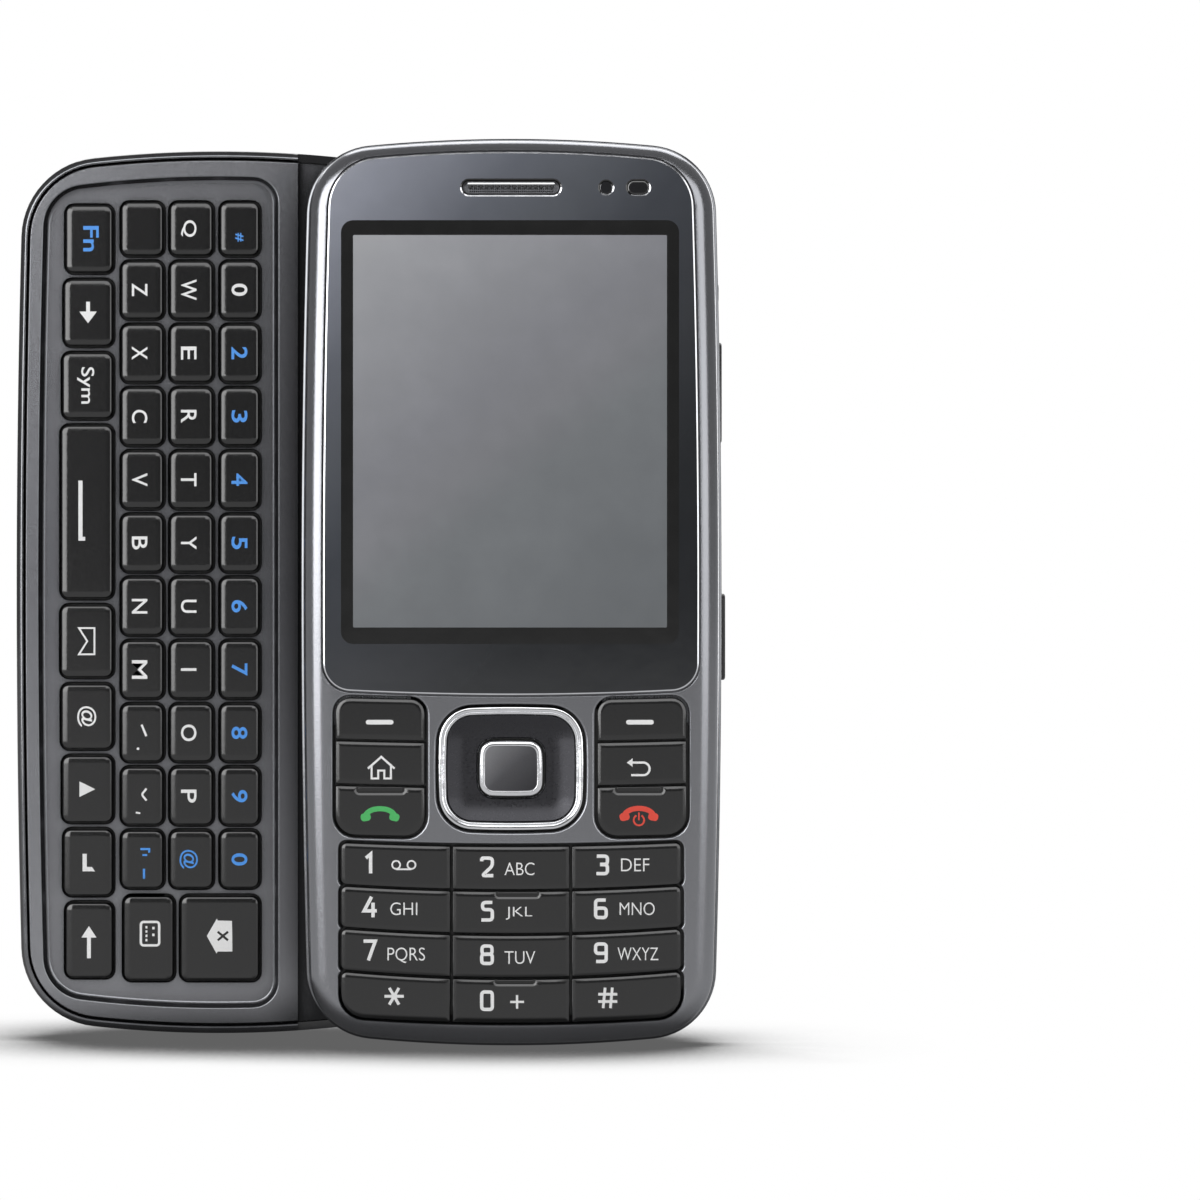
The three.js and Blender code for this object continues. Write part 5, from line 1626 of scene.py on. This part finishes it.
@dataclass
class SlideFrame:
    """The slide's satin front frame and the black tray behind it.

    Its fields are their sizes, in millimetres.
    """

    screen: Screen
    keys: FrontKeys
    back: float = 13.8
    top: float = 16.0
    inset: float = 0.35
    shoulder_width: float = 2.5
    shoulder_height: float = 1.7
    crown: float = 0.06
    mouth: float = 0.28
    skirt_wall: float = 0.8
    skirt_drop: float = 0.9
    tray_low: float = 9.5
    tray_floor: float = 10.5
    tray_high: float = 13.5
    tray_wall: float = 1.0
    slots: Point = (-23.5, 20.9)
    slot_y: float = 38.0
    slot_width: float = 3.0
    fittings: tuple[tuple[str, float, float, float], ...] = (
        ("volume_rocker", 24.9, 12.6, 0.25), ("camera_key", -5.6, 10.8, 0.5), ("hold_key", 37.4, 2.4, 0.1))
    fitting_z: float = 11.7
    fitting_height: float = 1.7
    flange: float = 0.15

    def front(self) -> None:
        """Builds the front frame: a rounded shoulder, the window's seat and the keys' openings."""
        foot = self.top - self.shoulder_height
        rise = self.shoulder_height - self.crown
        shoulder = [(self.inset + self.shoulder_width * (1 - math.cos(a)), foot + rise * math.sin(a))
                    for a in (math.pi / 2 * k / 14 for k in range(15))]
        crown = [(self.inset + self.shoulder_width + reach, self.top - self.crown * (1 - share) ** 2)
                 for reach, share in ((0.0, 0.0), (0.7, 0.3), (1.5, 0.6), (2.4, 0.85), (3.3, 1.0))]
        body = loft(SLIDE_FORM, [(self.inset, self.back), *shoulder, *crown[1:]])
        wall = self.tray_wall + GAP
        skirt = hoop(SLIDE_FORM, [
            (wall, self.back - self.skirt_drop), (wall, self.back + 0.4),
            (wall + self.skirt_wall, self.back + 0.4), (wall + self.skirt_wall, self.back - self.skirt_drop)])
        body = body.cut(Cut.JOINED, skirt)
        window = self.screen.outline
        seat = loft(window, eased_opening(0.2, 14.35, self.top - 0.05, 0.08, 3))
        through = slab(window, self.back - OVERRUN, self.top, 1.2)
        openings = [loft(form.opened(), eased_opening(GAP, self.back - OVERRUN, self.top - 0.01, self.mouth))
            for form in [*self.keys.block_forms().values(), *self.keys.number_forms().values(),
                         self.keys.nav_outline]]
        publish(body.cut(Cut.AWAY, seat, through, *openings), "satin_front_frame", Half.SLIDE, "slide",
                ["satin_flake_paint"], ["front_bezel"])

    def tray(self) -> None:
        """Builds the tray with its two guide slots and the openings in its right wall."""
        low, high = self.tray_low, self.tray_high
        under = [(inset, low + (low + 0.5 - z)) for inset, z in reversed(rounding(0.0, low + 0.5, 0.5, 5))]
        outer = loft(SLIDE_FORM, [*under, (0.0, high)])
        inner = slab(SLIDE_FORM, self.tray_floor, high + OVERRUN, self.tray_wall)
        tools = [inner]
        for y in (self.slot_y, -self.slot_y):
            half = self.slot_width / 2
            tools.append(block(self.slots, (y - half, y + half), (low - OVERRUN, self.tray_floor + 0.3)))
        for _, y, length, _ in self.fittings:
            side = SLIDE_FORM.side_at(y)
            form = round_bar(y, self.fitting_z, length + 2 * KEY_GAP, self.fitting_height + 2 * KEY_GAP)
            tools.append(slab(form, side - self.tray_wall - OVERRUN, side + OVERRUN).turned())
        publish(outer.cut(Cut.AWAY, *tools), "slide_tray", Half.SLIDE, "slide",
                ["moulded_black_abs"], ["slide_rear_cover"], bevel=0.08)

    def parting_trim(self) -> None:
        """Builds the thin plated line between the front frame and the tray."""
        low, high = self.tray_high - 0.05, self.tray_high + 0.2
        ring = hoop(SLIDE_FORM, [(0.33, low), (0.0, low), (0.0, high - 0.12), (0.03, high - 0.07),
                                 (0.09, high - 0.035), (0.29, high), (0.33, high - 0.03)])
        publish(ring, "parting_trim", Half.SLIDE, "slide", ["black_chromium_plate"])

    def side_keys(self) -> None:
        """Builds the three keys of the right wall, with soft edges and the flange that keeps them in."""
        for name, y, length, proud in self.fittings:
            side = SLIDE_FORM.side_at(y)
            inner = side - self.tray_wall - GAP
            body = loft(round_bar(y, self.fitting_z, length, self.fitting_height), [
                (-self.flange, inner - 0.5), (-self.flange, inner), (0.0, inner + 0.01),
                *rounding(0.0, side + proud, 0.3, 5)])
            publish(body.turned(), f"{name}_cap", Half.SLIDE, name,
                    ["moulded_black_abs"], [name])


class Ink(Enum):
    """An ink of the printed marks: its finish and its slot."""

    WHITE = ("printed_white_ink", "legend_white")
    BLUE = ("printed_blue_ink", "legend_blue")
    GREEN = ("printed_green_ink", "legend_green")
    RED = ("printed_red_ink", "legend_red")


@dataclass
class Legends:
    """The plain signs printed on the keys, each on the key that it moves with.

    Its fields are their sizes, in millimetres.
    """

    keyboard: Keyboard
    keys: FrontKeys
    sunk: float = 0.01
    digit_line: float = 0.42
    digit_soft: float = 0.4
    half: Point = (0.66, 1.085)
    capital: float = 1.58
    letter: float = 1.95
    aside: float = -0.3
    space_mark: Point = (-17.5, 10.25)
    prints: dict[tuple[str, Ink], Body] = field(default_factory=dict)

    def put(self, key: str, ink: Ink, mark: Body, x: float, y: float) -> None:
        """Adds a mark, centred at a place, to what is printed on a body in one ink."""
        moved = mark.moved(lambda p: (p[0] + x, p[1] + y, p[2]))
        self.prints.setdefault((key, ink), Body()).add(moved)

    def line(self, points: Sequence[Point], width: float, soft: float = 0.0, closed: bool = False) -> Body:
        """Draws a printed line, its corners softened."""
        course = softened(points, soft, closed) if soft else list(points)
        return stroke(course, width, 0.0, INK_FILM, closed)

    def plate(self, *loops: Sequence[Point]) -> Body:
        """Fills an outline with ink, round its holes."""
        return prism(loops, 0.0, INK_FILM)

    def digit(self, name: str) -> Body:
        """Draws one of the bold squared digits.

        Args:
            name: the digit.

        Returns:
            The digit, centred.
        """
        w, h = self.half
        lower = [(-w, 0.08), (w, 0.08), (w, -h), (-w, -h), (-w, 0.08)]
        stem = [(0.6, h), (-w, h), (-w, -0.5)]
        lines: dict[str, list[list[Point]]] = {
            "0": [[(-w, h), (w, h), (w, -h), (-w, -h), (-w, h)]],
            "1": [[(-0.4, 0.6), (0.18, h), (0.18, -1.3)]],
            "2": [[(-w, 0.7), (-w, h), (w, h), (w, 0.1), (-0.62, -h), (0.78, -h)]],
            "3": [[(-w, h), (w, h), (w, 0.07), (-0.25, 0.07)],
                  [(-0.25, 0.03), (w, 0.03), (w, -h), (-0.7, -h)]],
            "4": [[(0.2, 1.25), (-0.72, -0.5), (0.85, -0.5)], [(0.38, 0.5), (0.38, -1.3)]],
            "5": [[(w, h), (-0.55, h), (-0.55, 0.2), (w, 0.2), (w, -h), (-0.7, -h)]],
            "6": [stem, lower],
            "7": [[(-0.8, h), (w, h), (-0.2, -1.3)]],
            "8": [lower, [(-0.62, 0.05), (0.62, 0.05), (0.62, h), (-0.62, h), (-0.62, 0.05)]],
            "9": [[(-x, -y) for x, y in stem], [(-x, -y) for x, y in lower]],
        }
        soft = 0.0 if name in "147" else self.digit_soft
        drawn = []
        for line in lines[name]:
            closed = line[0] == line[-1]
            drawn.append(self.line(line[:-1] if closed else line, self.digit_line, soft, closed))
        return drawn[0].cut(Cut.JOINED, *drawn[1:])

    def handset(self) -> Body:
        """Draws a telephone's handset.

        Returns:
            The mark, centred.
        """
        arch = self.line(bow(0.0, -0.4, (1.82, 1.02), 170, 10, 20), 0.64)
        bulbs = []
        for side in (-1, 1):
            bulb = self.plate(Box.centred(0.0, 0.0, 1.24, 0.98).rounded(0.4, 6).points())
            bulb = self.turned(bulb, -12 * side)
            bulbs.append(bulb.moved(lambda p: (p[0] + side * 1.78, p[1] - 0.42, p[2])))
        return arch.cut(Cut.JOINED, *bulbs)

    def turned(self, mark: Body, degrees: float) -> Body:
        """Turns a mark about its middle."""
        cosine, sine = math.cos(math.radians(degrees)), math.sin(math.radians(degrees))
        return mark.moved(lambda p: (p[0] * cosine - p[1] * sine, p[0] * sine + p[1] * cosine, p[2]))

    def number_keys(self) -> None:
        """Prints the digits and letters of the number keys."""
        digits = {"1": (-17.6, -33.6), "2": (-2.98, -34.1), "3": (11.3, -33.85), "4": (-17.5, -39.05),
                  "5": (-2.98, -39.6), "6": (11.15, -39.3), "7": (-17.5, -44.4), "8": (-2.98, -45.0),
                  "9": (11.15, -44.75), "0": (-2.98, -50.7)}
        for name, (x, y) in digits.items():
            self.put(f"key_{name}", Ink.WHITE, self.digit(name), x, y)
        letters = {"2": ("ABC", 1.05, -34.35, 3.7), "3": ("DEF", 15.4, -33.85, 3.5),
                   "4": ("GHI", -13.3, -39.3, 3.35), "5": ("JKL", 1.0, -39.85, 3.3),
                   "6": ("MNO", 15.65, -39.3, 4.35), "7": ("PQRS", -13.0, -44.9, 4.65),
                   "8": ("TUV", 1.1, -45.35, 3.8), "9": ("WXYZ", 15.75, -44.9, 5.05)}
        for name, (words, x, y, width) in letters.items():
            drop = 0.17 if "Q" in words else 0.0
            mark = lettered(words, (width, self.capital + drop * 2), -0.008)
            self.put(f"key_{name}", Ink.WHITE, mark, x, y - drop)
        reels = [self.line(circle(side * 0.95, 0.0, 0.5, 20), 0.2, closed=True) for side in (-1, 1)]
        tape = self.line([(-0.95, -0.55), (0.95, -0.55)], 0.2)
        self.put("key_1", Ink.WHITE, tape.cut(Cut.JOINED, *reels), -13.3, -33.85)
        spokes = [self.turned(self.line([(-1.2, 0.0), (1.2, 0.0)], 0.36), turn) for turn in (0, 60, 120)]
        self.put("key_star", Ink.WHITE, spokes[0].cut(Cut.JOINED, *spokes[1:]), -14.5, -50.15)
        plus = [self.turned(self.line([(-0.85, 0.0), (0.85, 0.0)], 0.28), turn) for turn in (0, 90)]
        self.put("key_0", Ink.WHITE, plus[0].cut(Cut.JOINED, plus[1]), 0.75, -50.85)
        bars = [self.line([(-1.18, y), (1.18, y)], 0.34) for y in (0.45, -0.45)]
        posts = [self.line([(x - 0.12, -1.27), (x + 0.12, 1.27)], 0.34) for x in (-0.45, 0.45)]
        self.put("key_hash", Ink.WHITE, bars[0].cut(Cut.JOINED, bars[1], *posts), 12.0, -50.35)

    def block_keys(self) -> None:
        """Prints the signs of the six keys beside the navigation key."""
        for key, x in (("soft_key_left", -16.3), ("soft_key_right", 16.0)):
            dash = slab(round_bar(0.0, 0.0, 3.43, 0.57), 0.0, INK_FILM)
            self.put(key, Ink.WHITE, dash, x, -16.15)
        roof = self.line([(-1.65, -0.1), (0.0, 1.35), (1.65, -0.1)], 0.26)
        walls = self.line([(-1.2, 0.2), (-1.2, -1.33), (-0.38, -1.33), (-0.38, -0.35), (0.38, -0.35),
                           (0.38, -1.33), (1.2, -1.33), (1.2, 0.2)], 0.24)
        self.put("home_key", Ink.WHITE, roof.cut(Cut.JOINED, walls), -16.1, -21.8)
        loop = [(-0.8, 0.54), *bow(0.62, -0.24, (0.78, 0.78), 90, -90, 12), (-0.9, -1.02)]
        head = self.plate([(-1.42, 0.54), (-0.72, 1.08), (-0.72, 0.0)])
        self.put("back_key", Ink.WHITE, self.line(loop, 0.27).cut(Cut.JOINED, head), 15.8, -21.7)
        self.put("call_key", Ink.GREEN, self.handset(), -16.25, -27.5)
        self.put("end_key", Ink.RED, self.handset(), 15.87, -27.46)
        self.put("end_key", Ink.RED, self.line(bow(0.0, 0.0, (0.65, 0.65), 118, 422, 22), 0.22), 15.87, -28.3)
        self.put("end_key", Ink.RED, self.line([(0.0, 0.0), (0.0, 0.95)], 0.2), 15.87, -28.3)

    def sideways(self, words: str, size: Point, weight: float = 0.008) -> Body:
        """Sets words that are read with the keyboard upright, their tops towards the screen."""
        return lettered(words, size, weight).moved(lambda p: (p[1], -p[0], p[2]))

    def letter_keys(self) -> None:
        """Prints the letters, numbers and signs of the three letter columns."""
        strips = self.keyboard.strips()
        wide = {"M": 2.35, "W": 2.6, "Q": 2.1, "O": 2.1, "I": 0.34, "N": 1.85}
        rows = {"keyboard_lower_letters": " ZXCVBNM", "keyboard_upper_letters": "QWERTYUIOP@"}
        for strip, words in rows.items():
            for word, box in zip(words, strips[strip]):
                if word == " ":
                    continue
                size = (2.4, 2.3) if word == "@" else (wide.get(word, 1.65), self.letter)
                ink = Ink.BLUE if word == "@" else Ink.WHITE
                x, y = box.centre
                self.put(strip, ink, self.sideways(word, size), x + self.aside, y)
        for word, box in zip("#0234567890", strips["keyboard_numbers"]):
            x, y = box.centre
            ink = Ink.WHITE if word == "0" and box is strips["keyboard_numbers"][1] else Ink.BLUE
            size, drop = ((1.1, 1.0), 1.1) if word == "#" else ((1.55, 2.0), 0.0)
            self.put("keyboard_numbers", ink, self.sideways(word, size, 0.015), x, y - drop)
        self.lower_signs(strips["keyboard_lower_letters"][8:])
        self.delete_sign()

    def lower_signs(self, boxes: Sequence[Box]) -> None:
        """Prints the signs on the last four keys of the first letter column.

        Args:
            boxes: of those keys.
        """
        strip = "keyboard_lower_letters"
        slash_box, hook_box, quote_box, menu_box = (box.centre for box in boxes)
        hook = self.line(softened([(0.32, 0.75), (-0.3, 0.0), (0.32, -0.75)], 0.3), 0.26)
        menu = self.line(Box.centred(0, 0, 2.3, 2.95).rounded(0.35, 4).points(), 0.3, closed=True)
        left_dots = [Box.centred(-0.45, 0.81 - 0.54 * k, 0.24, 0.3) for k in range(4)]
        right_dots = [Box.centred(0.42, y, 0.3, 0.32) for y in (0.7, -0.15)]
        marks = [
            (Ink.WHITE, self.line([(-0.3, 0.72), (0.3, -0.72)], 0.27), slash_box, 0.25, 0.3),
            (Ink.WHITE, self.plate(circle(0.0, 0.0, 0.17, 12)), slash_box, -0.5, -2.0),
            (Ink.WHITE, hook, hook_box, 0.25, 0.2),
            (Ink.WHITE, self.line([(-0.28, 0.05), (0.28, -0.05)], 0.22), hook_box, -0.5, -2.1),
            (Ink.BLUE, self.line([(-0.55, 0.35), (0.55, 0.35), (0.55, -0.1)], 0.26), quote_box, 0.35, 0.95),
            (Ink.BLUE, self.line([(-0.3, -0.4), (0.3, -0.4)], 0.24), quote_box, 0.35, 0.95),
            (Ink.BLUE, self.line([(0.0, 0.62), (0.0, -0.62)], 0.27), quote_box, 0.25, -1.8),
            (Ink.WHITE, menu, menu_box, 0.2, 0.6)]
        marks += [(Ink.WHITE, self.plate(dot.corners), menu_box, 0.2, 0.6) for dot in left_dots + right_dots]
        for ink, mark, (x, y), aside, above in marks:
            self.put(strip, ink, mark, x + aside, y + above)

    def delete_sign(self) -> None:
        """Prints the tag with a cross on the delete key."""
        box = self.keyboard.strips()["keyboard_delete_key"][0]
        x, y = box.centre
        tag = self.plate([(-1.62, 0.0), (-0.35, 2.2), (-0.25, 1.95), (1.55, 1.9), (1.6, -1.95),
                          (-0.25, -1.95), (-0.4, -2.2)])
        bars = [self.turned(self.line([(-0.85, 0.0), (0.85, 0.0)], 0.3), turn).moved(
            lambda p: (p[0] + 0.4, p[1], p[2] * 3 - INK_FILM)) for turn in (40, -40)]
        cross = bars[0].cut(Cut.JOINED, bars[1])
        self.put("keyboard_delete_key", Ink.WHITE, tag.cut(Cut.AWAY, cross), x, y + 0.3)

    def function_keys(self) -> None:
        """Prints the signs of the outer column."""
        strips = self.keyboard.strips()
        fn, down, symbol = (box.centre for box in strips["keyboard_fn_strip"])
        mail, at, play, corner = (box.centre for box in strips["keyboard_mail_strip"])
        shift = strips["keyboard_shift_key"][0].centre
        arrow = [(-0.24, 1.35), (0.24, 1.35), (0.24, 0.12), (1.1, 0.12), (0.0, -1.35), (-1.1, 0.12),
                 (-0.24, 0.12)]
        foot = [(-0.26, 3.78), (0.26, 3.78), (0.26, -3.3), (0.6, -3.3), (0.6, -3.78), (-0.26, -3.78)]
        flap = [(-0.95, 1.65), (1.0, 1.65), (1.0, -1.65), (-0.95, -1.65), (0.1, 0.0)]
        boot = [(-0.78, 1.1), (-0.25, 1.1), (-0.25, -0.55), (0.38, -0.55), (0.8, -1.1), (-0.78, -1.1)]
        shaft = [(-0.24, -2.25), (0.24, -2.25), (0.24, 0.35), (0.95, 0.35), (0.0, 1.8), (-0.95, 0.35),
                 (-0.24, 0.35)]
        for strip, ink, mark, (x, y), aside in (
                ("keyboard_fn_strip", Ink.BLUE, self.sideways("Fn", (3.2, 1.95), 0.015), fn, 0.25),
                ("keyboard_fn_strip", Ink.WHITE, self.plate(arrow), down, 0.0),
                ("keyboard_fn_strip", Ink.WHITE, self.sideways("Sym", (4.6, 2.15)), symbol, -0.2),
                ("keyboard_space_bar", Ink.WHITE, self.plate(foot), self.space_mark, 0.0),
                ("keyboard_mail_strip", Ink.WHITE, self.line(flap, 0.22, closed=True), mail, 0.0),
                ("keyboard_mail_strip", Ink.WHITE, self.sideways("@", (2.6, 2.4)), at, 0.0),
                ("keyboard_mail_strip", Ink.WHITE,
                 self.plate([(-0.98, 0.98), (1.0, 0.0), (-0.98, -0.98)]), play, 0.0),
                ("keyboard_mail_strip", Ink.WHITE, self.plate(boot), corner, 0.1),
                ("keyboard_shift_key", Ink.WHITE, self.plate(shaft), shift, 0.0)):
            self.put(strip, ink, mark, x + aside, y)

    def build(self) -> None:
        """Prints every sign and hands the films to the frame, one for each body and ink."""
        self.number_keys()
        self.block_keys()
        front = set(self.prints)
        self.letter_keys()
        self.function_keys()
        for (key, ink), film in self.prints.items():
            on_front = (key, ink) in front
            foot = (self.keys.top if on_front else self.keyboard.cap_top) - self.sunk
            kind, slot = ink.value
            film.moved(lambda p: (p[0], p[1], p[2] + foot))
            publish(film, f"print_{key}_{ink.name.lower()}", Half.SLIDE if on_front else Half.BASE, key,
                    [kind])


@dataclass
class Studio:
    """The pale floor, the soft lamps and the camera.

    Its places and sizes are in metres; the camera's sensor, its distance and the width of its view are in
    millimetres. Each lamp is given by its name and by what the method lamp takes after it.
    """

    eye: Place = (0.04784, -0.516, -0.00099)
    eye_distance: float = 500
    view_width: float = 148.85
    sensor: float = 36.0
    lamp_aim: Place = (0.019, -0.008, 0.0)
    lamps: tuple[tuple[str, float, float, float, Point, float], ...] = (
        ("left_softbox", -29, 4, 1.0, (0.5, 0.85), 5.0),
        ("right_softbox", 29, 4, 1.0, (0.45, 0.85), 2.3),
        ("top_softbox", 0, 28, 1.0, (0.55, 0.42), 2.8),
        ("back_top_softbox", 170, 62, 0.9, (0.9, 0.7), 3.2),
        ("back_left_softbox", -140, 10, 1.0, (0.35, 1.0), 2.8),
        ("back_right_softbox", 140, 10, 1.0, (0.35, 1.0), 2.8))
    room: Tones = ((0.0, "#767676"), (0.12, "#7a7a7a"), (0.3, "#8e8e8e"), (0.5, "#9a9a9a"),
                   (0.75, "#b8b8b8"), (0.9, "#ffffff"))
    fill: float = 0.32
    floor_tones: Tones = ((0.3, "#b6b6b6"), (0.7, "#bababa"))
    floor_grain_mm: float = 4.0
    floor_reach: float = 3.0
    floor_z: float = -0.0565
    contact: float = 0.03
    shadow_span: Point = (0.68, 0.95)
    darkest: float = 0.12
    front_span: Point = (-0.1, 0.3)
    front_glow: float = 0.7
    white: float = 1.0

    def camera(self) -> None:
        """Sets the camera where the photograph was taken from."""
        data = bpy.data.cameras.new("view")
        data.sensor_width, data.lens = self.sensor, self.sensor * self.eye_distance / self.view_width
        data.clip_start, data.clip_end = 0.01, 50.0
        camera = placed("view", data)
        camera.location = self.eye
        camera.rotation_euler = (math.pi / 2, 0, 0)
        bpy.context.scene.camera = camera

    def world(self) -> None:
        """Lights the scene evenly and shows shiny surfaces a dim studio in front of a white backdrop."""
        world = bpy.data.worlds.new("studio")
        world.use_nodes = True
        bpy.context.scene.world = world
        tree = world.node_tree
        tree.nodes.clear()
        direct, shiny = ray_kinds(tree)
        aim = add_node(tree, "ShaderNodeTexCoord")
        parts = add_node(tree, "ShaderNodeSeparateXYZ", {"Vector": aim.outputs["Generated"]})
        wall = ramp(tree, respan(tree, parts.outputs["Y"], (-1.0, 1.0)), self.room)
        shown = between(tree, direct, between(tree, shiny, self.fill, wall), self.white)
        back = add_node(tree, "ShaderNodeBackground", {"Color": (1.0, 1.0, 1.0, 1.0), "Strength": shown})
        add_node(tree, "ShaderNodeOutputWorld", {"Surface": back.outputs[0]})

    def floor(self) -> None:
        """Lays the floor: white with a painted soft contact shadow, dimmer where shiny surfaces see its
        front.
        """
        mesh = bpy.data.meshes.new("floor")
        reach = self.floor_reach
        corners = [(-reach, -reach), (reach, -reach), (reach, reach), (-reach, reach)]
        mesh.from_pydata([(x, y, self.floor_z) for x, y in corners], [], [(0, 1, 2, 3)])
        material = bpy.data.materials.new("pale_floor")
        material.use_nodes = True
        tree = material.node_tree
        tree.nodes.clear()
        place = add_node(tree, "ShaderNodeTexCoord").outputs["Object"]
        speck = add_node(tree, "ShaderNodeTexNoise", {
            "Vector": place, "Scale": per_metre(self.floor_grain_mm)})
        tone = ramp(tree, speck.outputs["Fac"], self.floor_tones)
        matt = add_node(tree, "ShaderNodeBsdfDiffuse", {"Color": tone})
        # Painted contact shadow: ambient occlusion darkens the floor's glow near the phone
        near = add_node(tree, "ShaderNodeAmbientOcclusion", {"Distance": self.contact}, samples=16)
        shadow = respan(tree, near.outputs["AO"], self.shadow_span, (self.darkest, self.white))
        direct, shiny = ray_kinds(tree)
        parts = add_node(tree, "ShaderNodeSeparateXYZ", {"Vector": place})
        depth = respan(tree, parts.outputs["Y"], self.front_span, (self.front_glow, 1.0))
        glow = combined(tree, "MULTIPLY", shadow, between(tree, shiny, 1.0, depth))
        lit = add_node(tree, "ShaderNodeEmission", {"Color": (1.0, 1.0, 1.0, 1.0), "Strength": glow})
        shown = combined(tree, "MAXIMUM", direct, shiny)
        mix = add_node(tree, "ShaderNodeMixShader", {0: shown, 1: matt.outputs[0], 2: lit.outputs[0]})
        add_node(tree, "ShaderNodeOutputMaterial", {"Surface": mix.outputs[0]})
        mesh.materials.append(material)
        floor = placed("floor", mesh)

    def lamp(self, name: str, azimuth: float, elevation: float, distance: float, size: Point,
             strength: float) -> None:
        """Hangs a softbox that looks at the phone.

        Args:
            name: its name.
            azimuth: its direction in degrees, 0 in front of the screen and 90 to the right.
            elevation: how high it hangs, in degrees.
            distance: from the phone, in metres.
            size: its width and height, in metres.
            strength: how bright its face is, where 1 is as bright as white paper in plain light.
        """
        turn, rise = math.radians(azimuth), math.radians(elevation)
        aim = Vector((math.sin(turn) * math.cos(rise), -math.cos(turn) * math.cos(rise), math.sin(rise)))
        data = bpy.data.lights.new(name, "AREA")
        data.shape, data.size, data.size_y = "RECTANGLE", size[0], size[1]
        data.energy = strength * math.pi * size[0] * size[1]
        lamp = placed(name, data)
        lamp.location = Vector(self.lamp_aim) + aim * distance
        lamp.rotation_euler = (-aim).to_track_quat("-Z", "Y").to_euler()

    def build(self) -> None:
        """Builds the whole studio."""
        self.camera()
        self.world()
        self.floor()
        for lamp in self.lamps:
            self.lamp(*lamp)


INNER_FINISHES: dict[str, str] = {
    "base_rear_shell": "moulded_black_abs", "main_board": "solder_mask", "guide_plate": "rolled_spring_steel",
    "battery": "battery_film", "camera_module": "moulded_black_abs", "loudspeaker": "moulded_black_abs",
    "vibration_motor": "rolled_spring_steel", "connector_socket": "rolled_spring_steel",
    "side_key_upper": "moulded_black_abs", "side_key_lower": "moulded_black_abs",
    "connector_cover": "moulded_black_abs", "slide_rail_plate": "rolled_spring_steel",
    "display_module": "unlit_liquid_crystal", "earpiece_receiver": "moulded_black_abs",
    "keypad_board": "black_solder_mask", "nav_actuator": "rolled_spring_steel",
}


def dress_inner_nodes() -> None:
    """Gives the frame's own solids their finishes."""
    for name, kind in INNER_FINISHES.items():
        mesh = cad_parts[name].data
        mesh.materials.clear()
        mesh.materials.append(finish(kind))
        LOG.info("%s: kept, in %s", name, kind)


def main() -> None:
    """Builds the phone and its studio."""
    logging.basicConfig(level=logging.INFO, format="%(message)s")
    bpy.context.scene.view_settings.view_transform = "Standard"
    Studio().build()
    keyboard = Keyboard()
    housing = Housing()
    housing.rim()
    housing.deck(box for boxes in keyboard.strips().values() for box in boxes)
    housing.back()
    housing.camera()
    keyboard.build()
    screen = Screen()
    screen.window()
    screen.fittings()
    keys = FrontKeys()
    keys.keys()
    keys.navigation()
    slide = SlideFrame(screen, keys)
    slide.front()
    slide.tray()
    slide.parting_trim()
    slide.side_keys()
    Legends(keyboard, keys).build()
    dress_inner_nodes()


if __name__ == "__main__":
    main()
